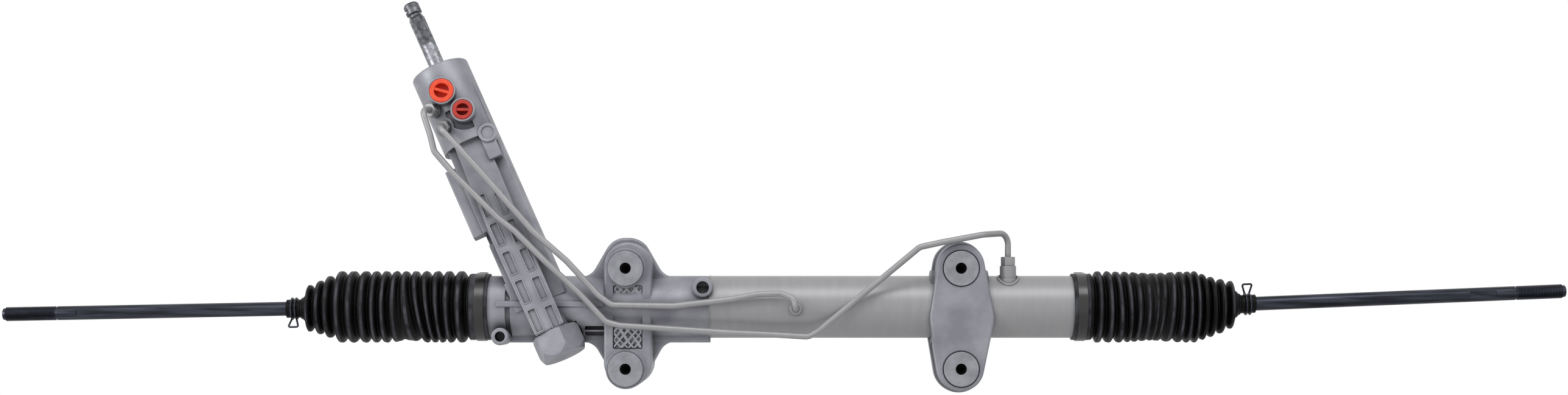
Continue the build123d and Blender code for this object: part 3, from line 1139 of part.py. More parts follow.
def pipe_nuts():
    """Flare nuts of the lines: two on the valve body and one on the cylinder port."""
    nuts = []
    bore = LINE_RADIUS + FIT
    for port in UNION_PORTS:
        base, axis = Vector(*port[0]), Vector(*port[1]).normalized()
        plane = Plane(origin=base + axis * UNION_BOSS_FACE, z_dir=axis)
        nut = extrude(plane * RegularPolygon(LINE_NUT_FLATS / 2, 6, major_radius=False), amount=7.5)
        nut += union_cylinder(port, -1, UNION_BOSS_FACE + 1, UNION_BORE - FIT)
        nuts.append(nut - union_cylinder(port, -2, UNION_BOSS_FACE + 9, bore))
    x, y, z = LONG_PORT
    hexagon = Pos(x, y, LONG_PORT_TOP) * RegularPolygon(LINE_NUT_FLATS / 2, 6, major_radius=False)
    nut = extrude(hexagon, amount=9.0)
    nut += Pos(x, y, LONG_PORT_TOP - 6) * Cylinder(UNION_BORE - FIT, 7, align=FROM_BASE)
    nuts.append(nut - Pos(x, y, LONG_PORT_TOP - 7) * Cylinder(bore, 20, align=FROM_BASE))
    return nuts


PLUG_DISH = 0.62              # share of the plug's radius that is hollow
PLUG_DISH_DEPTH = 3.5


def port_plug(name, turn):
    """Plastic transport plug: dished head with a grip bar across, and a stem in the port's thread."""
    right, height, outer, mouth = PORTS[name]
    radius = mouth - 0.25
    front = PORT_FACE - 0.6
    floor = PORT_FACE + PORT_MOUTH_DEPTH
    head = toward_viewer(right, height, front, floor, radius)
    head = fillet(head.faces().sort_by(Axis.Y)[0].edges(), SMALL_EDGE)
    dish = toward_viewer(right, height, front - 1, floor + PLUG_DISH_DEPTH, radius * PLUG_DISH)
    plane = Plane(origin=CROSSING + TOWER_AXIS * height + TOWER_RIGHT * right + TOWER_BACK * (front + 0.8),
                  x_dir=TOWER_RIGHT, z_dir=TOWER_BACK)
    grip = Rectangle(2 * radius * PLUG_DISH + 1, 2.6)
    bar = extrude(plane * Rot(0, 0, turn) * grip, amount=floor - front - 1)
    stem = toward_viewer(right, height, floor - 0.5, floor + PORT_THREAD_DEPTH - 1, PORT_THREAD_RADIUS - 0.1)
    return head + stem - dish + bar


def build_nodes():
    """Every node of the steering gear by name, still about the rack axis."""
    return {
        "gear_housing": gear_housing(),
        "cylinder_tube": cylinder_tube(),
        "mount_bracket": mount_bracket(),
        "mount_sleeves": mount_sleeves(),
        "mount_washers": mount_washers(),
        "mount_bushes": mount_bushes(),
        "yoke": yoke(),
        "yoke_ring": yoke_ring(),
        "yoke_spring": yoke_spring(),
        "yoke_plug": yoke_plug(),
        "yoke_locknut": yoke_locknut(),
        "pinion": pinion(),
        "torsion_bar": torsion_bar(),
        "lower_pin": cross_pin(BAR_BOTTOM + PIN_INSET, 2 * PINION_SHAFT_RADIUS - 0.6, PIN_RADIUS),
        "upper_pin": cross_pin(BAR_TOP - PIN_INSET, 2 * SHAFT_RADIUS - 1.6, PIN_RADIUS - FIT / 2),
        "input_shaft": input_shaft(),
        "valve_sleeve": valve_sleeve(),
        "valve_rings": valve_rings(),
        "lower_bearing_outer": lower_bearing_outer(),
        "lower_bearing_inner": lower_bearing_inner(),
        "lower_bearing_balls": lower_bearing_balls(),
        "pinion_nut": pinion_nut(),
        "bottom_cap": bottom_cap(),
        "needle_bearing": needle_bearing(),
        "pinion_seal": pinion_seal(),
        "top_bearing": top_bearing(),
        "top_seal": top_seal(),
        "snap_ring": snap_ring(),
        "rack_bar": rack_bar(),
        "piston": piston(),
        "piston_seal": piston_seal(),
        "piston_rings": piston_rings(),
        "inner_seal_carrier": inner_seal_carrier(),
        "inner_rack_seal": inner_rack_seal(),
        "outer_rack_seal": outer_rack_seal(),
        "rack_bush": rack_bush(),
        "bush_ring": bush_ring(),
        "left_socket": socket(-1),
        "right_socket": socket(1),
        "left_lock_washer": lock_washer(-1),
        "right_lock_washer": lock_washer(1),
        "left_ball_seat": ball_seat(-1),
        "right_ball_seat": ball_seat(1),
        "left_tie_rod": tie_rod(-1),
        "right_tie_rod": tie_rod(1),
        "left_boot": boot(-1),
        "right_boot": boot(1),
        "left_boot_band": boot_band(-1),
        "right_boot_band": boot_band(1),
        "left_boot_clip": boot_clip(-1),
        "right_boot_clip": boot_clip(1),
        "long_line": steel_line(LONG_LINE),
        "short_line": steel_line(SHORT_LINE),
        "pipe_nuts": pipe_nuts(),
        "cylinder_port": cylinder_port(),
        "line_collar": line_collar(),
        "feed_port_plug": port_plug("feed", 40),
        "return_port_plug": port_plug("return", 25),
    }


def flat_solids(shape):
    """The separate solids of a node, whether it is one shape or a list of them."""
    if isinstance(shape, list):
        return [solid for item in shape for solid in item.solids()]
    return list(shape.solids())


def main():
    os.makedirs("parts", exist_ok=True)
    to_mount = Pos(0, -MOUNT_PLANE_Y, BOLT_DROP)
    for name, shape in build_nodes().items():
        solids = [to_mount * solid for solid in flat_solids(shape)]
        whole = solids[0] if len(solids) == 1 else Compound(children=solids)
        export_step(whole, f"parts/{name}.step")
        print(name, len(solids), "solids", round(sum(solid.volume for solid in solids)), "mm3")
    print("pinion turns", round(1000 / (PINION_TEETH * MODULE / 2), 4), "rad per metre of rack travel")
    print("smallest bends", round(min(line_radii(LONG_LINE)), 1), round(min(line_radii(SHORT_LINE)), 1))


main()
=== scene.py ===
# %% [markdown]
# # A hydraulic steering rack, dressed over its CAD frame
#
# A van's power steering gear is a long grey assembly: a sand-cast housing with a leaning valve tower, a
# steel cylinder tube, two black bellows and two black tie rods. The CAD model holds every hard piece at
# its real size. Here each of them gets its finish, and the bellows are drawn again as soft folds.

# %% Load the frame
import json
import math

import bpy
import numpy as np
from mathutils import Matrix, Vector


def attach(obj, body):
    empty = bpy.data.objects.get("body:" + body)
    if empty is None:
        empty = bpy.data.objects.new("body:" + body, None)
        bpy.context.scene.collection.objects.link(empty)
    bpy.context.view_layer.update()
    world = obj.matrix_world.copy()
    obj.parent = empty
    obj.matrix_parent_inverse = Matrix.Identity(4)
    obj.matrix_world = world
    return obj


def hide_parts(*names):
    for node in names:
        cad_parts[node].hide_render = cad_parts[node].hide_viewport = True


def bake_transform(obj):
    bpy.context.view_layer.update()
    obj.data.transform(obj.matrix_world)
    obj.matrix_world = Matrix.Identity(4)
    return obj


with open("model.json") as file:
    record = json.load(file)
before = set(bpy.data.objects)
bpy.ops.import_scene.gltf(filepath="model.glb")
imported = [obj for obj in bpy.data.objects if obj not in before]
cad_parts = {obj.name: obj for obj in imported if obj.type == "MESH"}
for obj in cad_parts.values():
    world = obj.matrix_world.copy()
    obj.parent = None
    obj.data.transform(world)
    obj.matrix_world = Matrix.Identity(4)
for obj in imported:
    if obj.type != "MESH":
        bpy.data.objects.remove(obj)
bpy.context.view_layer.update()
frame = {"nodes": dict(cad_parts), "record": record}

MM = 0.001
nodes = frame["nodes"]

# %% [markdown]
# ## Camera
#
# The gear was photographed square on, from about two metres, level with its rack. A 50 mm lens with a small
# upward shift gives the photograph's frame without tilting the camera, so upright edges stay upright.

# %% Camera
RACK_Y = -33.0 * MM  # the rack's axis in the frame
RACK_Z = 11.4 * MM
PHOTO_WIDTH = 2576  # in pixels
FOCAL_PIXELS = 3600  # the lens' length in pixels of the photograph
SENSOR_WIDTH = 36.0  # in mm
UPWARD_SHIFT = 0.0642  # in widths of the sensor
CAMERA_X = -0.009
CAMERA_DISTANCE = 2.16  # in front of the rack's axis, in metres
CAMERA_LIFT = 0.0086  # above the rack's axis, in metres
scene = bpy.context.scene

camera_data = bpy.data.cameras.new("camera")
camera_data.sensor_width = SENSOR_WIDTH
camera_data.lens = SENSOR_WIDTH * FOCAL_PIXELS / PHOTO_WIDTH
camera_data.shift_y = UPWARD_SHIFT
camera = bpy.data.objects.new("camera", camera_data)
camera.location = (CAMERA_X, RACK_Y - CAMERA_DISTANCE, RACK_Z + CAMERA_LIFT)
camera.rotation_euler = (math.pi / 2, 0, 0)
scene.collection.objects.link(camera)
scene.camera = camera
print("lens", round(camera_data.lens, 2), "mm")

# %% [markdown]
# ## The tower's own directions
#
# The valve tower leans to the left and to the back. Its pieces and patterns are laid out by their height
# along its axis, to its right and to its back, so these three directions are worked out once.

# %% Frame of the tower
TOWER_LEAN = math.radians(24.35)  # to the left
TOWER_TILT = math.radians(9.0)  # to the back
TOWER_FOOT = np.array([-245.4, -49.319, 13.985])  # where the pinion's axis passes the rack, in mm
TOWER_AXIS = np.array([-math.sin(TOWER_LEAN), math.cos(TOWER_LEAN) * math.sin(TOWER_TILT),
                       math.cos(TOWER_LEAN) * math.cos(TOWER_TILT)])
TOWER_RIGHT = np.array([math.cos(TOWER_LEAN), math.sin(TOWER_LEAN) * math.sin(TOWER_TILT),
                        math.sin(TOWER_LEAN) * math.cos(TOWER_TILT)])
TOWER_BACK = np.cross(TOWER_AXIS, TOWER_RIGHT)
print("tower axis", np.round(TOWER_AXIS, 4))

# %% [markdown]
# ## Light, floor and background
#
# Catalogue pictures of machine parts are lit by one broad soft box above the camera and white cards around
# it. The world shows white to the camera and to reflections, and lights the rest at a lower level, so that
# the paint keeps its own grey.

# %% World
WORLD_FILL = 0.48  # strength at which the white world lights the gear
WHITE = (1, 1, 1, 1)
scene.view_settings.view_transform = "Standard"


def add_node(tree, kind, links=None, **settings):
    """Adds a shader node, sets its properties, and links or sets each input that is named or numbered."""
    made = tree.nodes.new(kind)
    for key, value in settings.items():
        setattr(made, key, value)
    for key, value in (links or {}).items():
        if isinstance(value, bpy.types.NodeSocket):
            tree.links.new(value, made.inputs[key])
        else:
            made.inputs[key].default_value = value
    return made


world = bpy.data.worlds.new("studio")
world.use_nodes = True
scene.world = world
sky = world.node_tree
sky.nodes.clear()
ray = add_node(sky, "ShaderNodeLightPath")
direct = add_node(sky, "ShaderNodeMath", {0: ray.outputs["Is Camera Ray"], 1: ray.outputs["Is Glossy Ray"]},
                  operation="MAXIMUM")
seen = add_node(sky, "ShaderNodeMath", {0: direct.outputs[0], 1: ray.outputs["Is Transmission Ray"]},
                operation="MAXIMUM")
fill = add_node(sky, "ShaderNodeBackground", {"Color": WHITE, "Strength": WORLD_FILL})
white = add_node(sky, "ShaderNodeBackground", {"Color": WHITE, "Strength": 1.0})
both = add_node(sky, "ShaderNodeMixShader", {0: seen.outputs[0], 1: fill.outputs[0], 2: white.outputs[0]})
add_node(sky, "ShaderNodeOutputWorld", {0: both.outputs[0]})
print("world's nodes", len(sky.nodes))

# %% [markdown]
# The soft box is much wider than it is tall, so the tube shows one long highlight. A smaller card at the
# left lights the sides of the tower and of the folds.

# %% Lamps


def soft_box(name, place, aim, width, height, watts):
    """Rectangular area lamp at a place, turned so that it shines at a point."""
    data = bpy.data.lights.new(name, "AREA")
    data.shape = "RECTANGLE"
    data.size = width
    data.size_y = height
    data.energy = watts
    lamp = bpy.data.objects.new(name, data)
    lamp.location = place
    lamp.rotation_euler = (Vector(aim) - Vector(place)).to_track_quat("-Z", "Y").to_euler()
    scene.collection.objects.link(lamp)


soft_box("soft_box_above", place=(0.1, -1.1, 1.5), aim=(0, 0, 0.05), width=2.4, height=0.7, watts=17.0)
soft_box("card_left", place=(-1.9, -1.2, 0.5), aim=(-0.3, 0, 0.1), width=0.8, height=0.8, watts=14.0)
print("lamps", [lamp.name for lamp in bpy.data.lights])

# %% [markdown]
# The floor is one pale sheet, low enough to stay out of the photograph's frame. It is stage, and no piece of
# the gear.

# %% Floor
FLOOR_Z = -0.30


def floor_sheet(half_width, half_depth):
    """Flat rectangle under the gear, out of the camera's view."""
    mesh = bpy.data.meshes.new("floor")
    corners = [(x * half_width, y * half_depth, FLOOR_Z) for x, y in ((-1, -1), (1, -1), (1, 1), (-1, 1))]
    mesh.from_pydata(corners, [], [(0, 1, 2, 3)])
    sheet = bpy.data.objects.new("floor", mesh)
    scene.collection.objects.link(sheet)
    return sheet


floor = floor_sheet(half_width=1.6, half_depth=1.0)
print("floor at", FLOOR_Z)

# %% [markdown]
# ## Finishes
#
# Each finish is one material, worked out from the real surface. Colours are written as sRGB hex and turned
# linear by one function. A finish starts from two tones of its own colour, and further tones are laid over
# them: painted shade in corners, a lighter edge that is partly worn paint and partly a painted highlight,
# and a painted highlight along the folds' crests.

# %% Materials and layers of colour


def linear(hex_colour):
    """Linear RGBA of an sRGB hex colour."""
    parts = np.array([int(hex_colour[i:i + 2], 16) for i in (1, 3, 5)]) / 255
    low = parts / 12.92
    high = ((parts + 0.055) / 1.055) ** 2.4
    return tuple(np.where(parts <= 0.04045, low, high)) + (1.0,)


def new_material(name, inputs=None):
    """Empty node material, whose principled shader has the inputs that are the same all over it set."""
    material = bpy.data.materials.new(name)
    material.use_nodes = True
    tree = material.node_tree
    tree.nodes.clear()
    shader = add_node(tree, "ShaderNodeBsdfPrincipled", inputs)
    add_node(tree, "ShaderNodeOutputMaterial", {"Surface": shader.outputs[0]})
    return material, tree, shader


def lay_colour(tree, shader, under, over, pattern, start=0.0, full=1.0, amount=1.0):
    """Colours the shader from one tone to another while a pattern goes from start to full.

    A tone is sRGB hex or an earlier layer, and amount is the most of the upper one that shows."""
    under, over = (linear(tone) if isinstance(tone, str) else tone for tone in (under, over))
    cover = add_node(tree, "ShaderNodeMapRange", {"Value": pattern, "From Min": start, "From Max": full,
                                                  "To Min": 0.0, "To Max": amount})
    layer = add_node(tree, "ShaderNodeMix", {0: cover.outputs[0], 6: under, 7: over}, data_type="RGBA")
    tree.links.new(layer.outputs[2], shader.inputs["Base Color"])
    return layer.outputs[2]


# %% [markdown]
# Patterns read Object coordinates in metres, so a noise of scale 1 / size has features of about that size
# in metres. The same noise can drive a colour, the roughness and the bump, as it does on a real surface.

# %% Noise, roughness and bump


def object_noise(tree, size_mm, detail=2.0, stretch=(1, 1, 1), rough=0.5):
    """Noise on Object coordinates with blotches about size_mm across, longer where stretch is under 1."""
    place = add_node(tree, "ShaderNodeTexCoord")
    mapped = add_node(tree, "ShaderNodeMapping", {"Vector": place.outputs["Object"], "Scale": stretch})
    return add_node(tree, "ShaderNodeTexNoise", {"Vector": mapped.outputs[0], "Scale": 1000 / size_mm,
                                                 "Detail": detail, "Roughness": rough}).outputs["Fac"]


def vary_roughness(tree, shader, pattern, at_start, at_full, start=0.3, full=0.7):
    """Lets the roughness run between two values while a pattern goes from start to full."""
    varied = add_node(tree, "ShaderNodeMapRange", {"Value": pattern, "From Min": start, "From Max": full,
                                                   "To Min": at_start, "To Max": at_full})
    tree.links.new(varied.outputs[0], shader.inputs["Roughness"])


def bumped(tree, shader, height, distance_mm, strength=1.0, edge_mm=0.0):
    """Bump from a height, over edges that the shading rounds by edge_mm."""
    bump = add_node(tree, "ShaderNodeBump", {"Height": height, "Distance": distance_mm * MM,
                                             "Strength": strength})
    if edge_mm > 0:
        rounded = add_node(tree, "ShaderNodeBevel", {"Radius": edge_mm * MM}, samples=6)
        tree.links.new(rounded.outputs[0], bump.inputs["Normal"])
    tree.links.new(bump.outputs[0], shader.inputs["Normal"])


# %% [markdown]
# Two layers tell a casting from a drawing of one. The edges are lighter: partly paint that handling rubs
# bright, and partly a painted highlight. The inner corners get painted shade, by ambient occlusion.

# %% Lighter edges, worn and highlit, and painted shade in corners
EDGE_TONE_FROM = 0.93  # cosine of the turn at an edge where the lighter tone, worn paint and painted highlight, starts to show,
EDGE_TONE_FULL = 0.80  # and where it shows fully
EDGE_TONE_MOST = 0.75
OPEN_SURFACE = 0.90  # share of open sky above which no shade is painted,
DEEP_CORNER = 0.25  # and below which the painted shade is full
PAINTED_SHADE_MOST = 0.85


def edge_wear_and_highlight(tree, shader, colour, edge_mm, bare):
    """Lightens a colour where the surface turns within edge_mm: partly worn paint, partly a painted
    highlight.

    The Bevel node's rounded normal leaves the true one only near an edge: their dot product falls there."""
    rounded = add_node(tree, "ShaderNodeBevel", {"Radius": edge_mm * MM}, samples=4)
    true = add_node(tree, "ShaderNodeNewGeometry")
    turn = add_node(tree, "ShaderNodeVectorMath", {0: rounded.outputs[0], 1: true.outputs["Normal"]},
                    operation="DOT_PRODUCT")
    # bare is the lighter edge tone: partly worn paint, partly a painted highlight
    return lay_colour(tree, shader, colour, bare, turn.outputs["Value"], EDGE_TONE_FROM, EDGE_TONE_FULL,
                      EDGE_TONE_MOST)


def painted_shade_in_corners(tree, shader, colour, reach_mm, soil):
    """Paints shade into a colour by ambient occlusion, in corners narrower than reach_mm; soil is the
    shade's tone.
    """
    shade = add_node(tree, "ShaderNodeAmbientOcclusion", {"Distance": reach_mm * MM}, samples=4)
    return lay_colour(tree, shader, colour, soil, shade.outputs["AO"], OPEN_SURFACE, DEEP_CORNER,
                      PAINTED_SHADE_MOST)


# %% [markdown]
# ### Silver-grey paint
#
# Rebuilt steering gears are blasted and sprayed with a thin satin aluminium paint. On the casting it shows
# the grain of the sand mould, 0.5 to 1 mm, drawn here at 1.6 mm so that it shows in the picture, with soft
# darker patches where the paint is thin. On the drawn steel of the tube it lies smoother.

# %% Painted casting and painted steel


def painted_casting():
    """Satin aluminium paint on sand-cast aluminium: patchy, lighter on edges (worn paint and painted
    highlight), with painted shade in corners.
    """
    material, tree, shader = new_material("silver_paint_on_casting", {"Metallic": 0.30})
    patches = object_noise(tree, size_mm=26.0, detail=4.0)
    colour = lay_colour(tree, shader, "#7F8089", "#97989F", patches, 0.35, 0.65)
    # lighter edges: partly worn paint, partly a painted highlight
    colour = edge_wear_and_highlight(tree, shader, colour, 1.2, "#BCBDC3")
    # painted shade in the corners
    painted_shade_in_corners(tree, shader, colour, 13.0, "#2A2B2F")
    vary_roughness(tree, shader, patches, 0.52, 0.42)
    grain = object_noise(tree, size_mm=1.6, detail=3.0, rough=0.6)
    bumped(tree, shader, grain, distance_mm=0.35, strength=0.5, edge_mm=1.2)
    return material


def painted_steel():
    """The same paint on drawn steel: smoother, with faint rings left by the polishing belt."""
    material, tree, shader = new_material("silver_paint_on_steel", {"Metallic": 0.35})
    rings = object_noise(tree, size_mm=30.0, stretch=(5, 1, 1))
    colour = lay_colour(tree, shader, "#949497", "#9B9B9C", rings, 0.2, 0.8)
    # painted shade in the corners
    painted_shade_in_corners(tree, shader, colour, 5.0, "#4A4B50")
    vary_roughness(tree, shader, rings, 0.45, 0.42, 0.2, 0.8)
    bumped(tree, shader, object_noise(tree, size_mm=2.2), distance_mm=0.12, strength=0.3, edge_mm=0.6)
    return material


# %% [markdown]
# The discs of the mounting sleeves are turned, and their faces keep the rings of the tool, 0.4 mm apart.
# They are drawn at 1.2 mm so that they show. The four bolts lie at the corners of a rectangle whose middle
# is the origin, so the absolute value of the coordinates lays one pattern round all four.

# %% Turned discs
BOLT_X = 163.0  # from the origin, in mm
BOLT_Z = 49.0
TOOL_RINGS = 1.2 * MM


def turned_disc():
    """Painted steel disc whose height is a sine of the distance from its bolt's axis."""
    material, tree, shader = new_material("turned_steel_disc", {"Metallic": 0.55, "Roughness": 0.40})
    place = add_node(tree, "ShaderNodeTexCoord")
    folded = add_node(tree, "ShaderNodeVectorMath", {0: place.outputs["Object"]}, operation="ABSOLUTE")
    centred = add_node(tree, "ShaderNodeVectorMath",
                       {0: folded.outputs[0], 1: (BOLT_X * MM, 0, BOLT_Z * MM)}, operation="SUBTRACT")
    flat = add_node(tree, "ShaderNodeVectorMath", {0: centred.outputs[0], 1: (1, 0, 1)},
                    operation="MULTIPLY")
    radius = add_node(tree, "ShaderNodeVectorMath", {0: flat.outputs[0]}, operation="LENGTH")
    turns = add_node(tree, "ShaderNodeMath", {0: radius.outputs["Value"], 1: 2 * math.pi / TOOL_RINGS},
                     operation="MULTIPLY")
    wave = add_node(tree, "ShaderNodeMath", {0: turns.outputs[0]}, operation="SINE")
    patches = object_noise(tree, size_mm=9.0, detail=3.0)
    lay_colour(tree, shader, "#83858B", "#999BA1", patches, 0.3, 0.7)
    bumped(tree, shader, wave.outputs[0], distance_mm=0.05, strength=0.5, edge_mm=0.5)
    return material


# %% [markdown]
# ### Blackened steel
#
# The tie rods are forged, then blackened and oiled: nearly black, with a blue sheen and faint marks along
# the bar. The wide bands of the bellows carry a thick glossy lacquer, so they are blacker and show a
# sharper highlight.

# %% Blackened steel


def oiled_black_steel():
    """Black oxide under oil on a drawn bar, with streaks along the rod."""
    material, tree, shader = new_material("oiled_black_oxide", {"Metallic": 0.85})
    streaks = object_noise(tree, size_mm=4.0, detail=4.0, stretch=(0.06, 1, 1))
    lay_colour(tree, shader, "#1E2026", "#454853", streaks, 0.35, 0.7)
    vary_roughness(tree, shader, streaks, 0.40, 0.28)
    bumped(tree, shader, streaks, distance_mm=0.08, strength=0.4, edge_mm=0.3)
    return material


def lacquered_steel():
    """Thick black lacquer on the steel bands of the bellows."""
    material, tree, shader = new_material("black_lacquer_on_band", {"Specular IOR Level": 0.7})
    runs = object_noise(tree, size_mm=18.0)
    lay_colour(tree, shader, "#040403", "#0E0D0A", runs, 0.3, 0.7)
    vary_roughness(tree, shader, runs, 0.19, 0.30)
    bumped(tree, shader, runs, distance_mm=0.15, strength=0.4, edge_mm=0.4)
    return material


# %% [markdown]
# ### Bare metal
#
# The input shaft is bare steel: darker over its serration, and lighter below it. The change goes by
# the height along the tower's axis, which is a dot product of the place with that axis. The parts inside
# are ground or turned, and bright.

# %% Bare metal
SERRATION_BOTTOM = 286.2  # height along the axis at which the shaft's serration starts, in mm
TONE_STARTS = (SERRATION_BOTTOM - 2) * MM
TONE_FULL = (SERRATION_BOTTOM + 1) * MM


def two_tone_shaft_steel():
    """Bare steel of the input shaft: stained in two tones below its serration, and in two darker above."""
    material, tree, shader = new_material("two_tone_input_shaft_steel", {"Metallic": 0.85})
    stains = object_noise(tree, size_mm=4.0, detail=4.0)
    place = add_node(tree, "ShaderNodeTexCoord")
    from_foot = add_node(tree, "ShaderNodeVectorMath", {0: place.outputs["Object"], 1: TOWER_FOOT * MM},
                         operation="SUBTRACT")
    height = add_node(tree, "ShaderNodeVectorMath", {0: from_foot.outputs[0], 1: TOWER_AXIS},
                      operation="DOT_PRODUCT")
    bright = lay_colour(tree, shader, "#6C6D72", "#9A9BA1", stains, 0.35, 0.65)
    darker = lay_colour(tree, shader, "#47484C", "#6E6F73", stains, 0.35, 0.65)
    lay_colour(tree, shader, bright, darker, height.outputs["Value"], TONE_STARTS, TONE_FULL)
    vary_roughness(tree, shader, stains, 0.5, 0.35)
    bumped(tree, shader, object_noise(tree, size_mm=1.0), distance_mm=0.08, strength=0.4, edge_mm=0.3)
    return material


def ground_steel():
    """Ground or turned bright steel, for the rack, the pinion and the bearings."""
    material, tree, shader = new_material("ground_steel", {"Metallic": 1.0, "Roughness": 0.25})
    streaks = object_noise(tree, size_mm=2.0, stretch=(6, 1, 1))
    lay_colour(tree, shader, "#9B9CA0", "#BEBFC3", streaks, 0.3, 0.7)
    bumped(tree, shader, streaks, distance_mm=0.03, strength=0.3, edge_mm=0.2)
    return material


def turned_aluminium():
    """Turned aluminium of the yoke and the bushes."""
    material, tree, shader = new_material("turned_aluminium", {"Metallic": 1.0, "Roughness": 0.35})
    streaks = object_noise(tree, size_mm=2.0, stretch=(1, 4, 1))
    lay_colour(tree, shader, "#B5B7BB", "#D0D1D4", streaks, 0.3, 0.7)
    bumped(tree, shader, streaks, distance_mm=0.03, strength=0.3)
    return material


# %% [markdown]
# ### Rubber, plastic and the floor
#
# The bellows are moulded rubber: a deep black, with a grey highlight painted in patches along the crests.
# The transport plugs are injection-moulded plastic, one orange and one red, with the fine grain of their
# mould.

# %% Rubber, plastic and floor finishes


def moulded_rubber():
    """Black chloroprene rubber, with a grey highlight painted in patches along its crests, which an
    attribute marks.
    """
    material, tree, shader = new_material("moulded_black_rubber", {"Specular IOR Level": 0.12})
    bloom = object_noise(tree, size_mm=11.0, detail=3.0)
    colour = lay_colour(tree, shader, "#020203", "#070708", bloom, 0.35, 0.75)
    crest = add_node(tree, "ShaderNodeAttribute", attribute_name="crest")
    patchy = add_node(tree, "ShaderNodeMapRange", {"Value": object_noise(tree, size_mm=16.0),
                                                   "From Min": 0.30, "From Max": 0.68,
                                                   "To Min": 0.1, "To Max": 1.0})
    crest_highlight = add_node(tree, "ShaderNodeMath", {0: crest.outputs["Fac"], 1: patchy.outputs[0]},
                      operation="MULTIPLY")
    # painted highlight along the crests, in patches
    lay_colour(tree, shader, colour, "#4A4B51", crest_highlight.outputs[0])
    vary_roughness(tree, shader, bloom, 0.38, 0.52)
    bumped(tree, shader, object_noise(tree, size_mm=1.4), distance_mm=0.1, strength=0.3)
    return material


def moulded_plastic(name, dark, light):
    """Injection-moulded polythene with the fine grain of an eroded mould."""
    material, tree, shader = new_material(name, {"Roughness": 0.38, "IOR": 1.5, "Subsurface Weight": 0.05})
    lay_colour(tree, shader, dark, light, object_noise(tree, size_mm=5.0), 0.3, 0.7)
    bumped(tree, shader, object_noise(tree, size_mm=0.8), distance_mm=0.05, strength=0.3, edge_mm=0.3)
    return material


def floor_paint():
    """Pale matt floor of the studio."""
    material, tree, shader = new_material("pale_studio_floor", {"Roughness": 0.8})
    lay_colour(tree, shader, "#F1F1F1", "#F6F6F6", object_noise(tree, size_mm=400.0))
    return material


# %% [markdown]
# Every CAD node has a material slot in the record, so its finish is looked up by that. Four nodes have a
# finish of their own.

# %% Give every CAD node its finish
FINISHES = {
    "cast_aluminium": painted_casting(),
    "grey_steel": painted_steel(),
    "ground_steel": ground_steel(),
    "black_oxide_steel": oiled_black_steel(),
    "bare_aluminium": turned_aluminium(),
    "rubber": moulded_rubber(),
    "liner_plastic": moulded_plastic("natural_liner_plastic", "#C9C6BC", "#DAD8CF"),
    "orange_plastic": moulded_plastic("orange_transport_plastic", "#E2401F", "#F0522A"),
    "red_plastic": moulded_plastic("red_transport_plastic", "#A32218", "#BC2E20"),
}
band_lacquer = lacquered_steel()
OWN_FINISH = {
    "mount_sleeves": turned_disc(),
    "input_shaft": two_tone_shaft_steel(),
    "left_boot_band": band_lacquer,
    "right_boot_band": band_lacquer,
}


def finish_node(name, material):
    """Puts one material on every face of a CAD node."""
    mesh = nodes[name].data
    mesh.materials.clear()
    mesh.materials.append(material)


for part in frame["record"]["subparts"]:
    finish_node(part["node"], OWN_FINISH.get(part["node"], FINISHES[part["material_slot"]]))
floor.data.materials.append(floor_paint())
print("finishes by slot", len(FINISHES), "and by node", len(OWN_FINISH))

# %% [markdown]
# ## Meshes from arrays
#
# Every new piece is a grid of points worked out as one array: rows along it, and columns round it. The
# same two helpers join the grid's points by quads and turn them into an object.

# %% Grid and mesh helpers


def grid_faces(rows, cols, rows_close=True, cols_close=True):
    """Quads of a grid of points, whose last row joins the first, and each row's end its start, where closed.

    A quad is this point, the next one in its row, the one above that, and the one above this point."""
    row = np.arange(rows if rows_close else rows - 1)[:, None]
    col = np.arange(cols if cols_close else cols - 1)[None, :]
    beside = (col + 1) % cols
    above = (row + 1) % rows * cols
    return np.stack([row * cols + col, row * cols + beside, above + beside, above + col],
                    axis=-1).reshape(-1, 4)


def mesh_piece(name, points, faces, caps=(), smooth_shaded=True):
    """New object from an array of points, an array of quads and a list of caps with more corners."""
    mesh = bpy.data.meshes.new(name)
    mesh.from_pydata(points.reshape(-1, 3).tolist(), [], faces.tolist() + list(caps))
    if smooth_shaded:
        mesh.polygons.foreach_set("use_smooth", np.ones(len(mesh.polygons), bool))
    mesh.update()
    piece = bpy.data.objects.new(name, mesh)
    scene.collection.objects.link(piece)
    return piece


def full_turn(count):
    """Angles of a number of points spaced evenly round a full turn."""
    return np.linspace(0, 2 * np.pi, count, endpoint=False)


def smooth(t):
    """Smooth step from 0 to 1: t squared times 3 - 2 t."""
    t = np.clip(t, 0, 1)
    return t * t * (3 - 2 * t)


# %% [markdown]
# ## Bellows
#
# A bellows is a surface of revolution whose radius rises and falls along its axis. The folds of the real
# ones are uneven because the rubber has relaxed, so each crest's place is listed from the photograph, and
# between them the radius follows a cosine that lingers on the crest and turns quickly in the valley.

# %% Radius along a bellows
CUFF_RADIUS = 32.7  # all in mm
GROOVE_RADIUS = 29.4  # between the cuff and the first fold
CREST_RADIUS = 35.2
FOLD_DEPTH = 4.9
NECK_RADIUS = 9.0
NECK_FOOT_RADIUS = 10.6  # where the last fold turns into the neck
NECK_TURN = 1.0  # half the length of that turn
CUFF_BEVEL = 0.5  # the cuff narrows this far before the housing's end,
GROOVE_PLACE = 2.6  # and the groove lies this far past it
TAIL_LENGTH = 3.2  # the last valley lies between the last crest and a point before the neck,
TAIL_DROP = 5.0  # whose radius is this much less than that crest's
LINGER = 1.7  # power that holds the radius near the crest


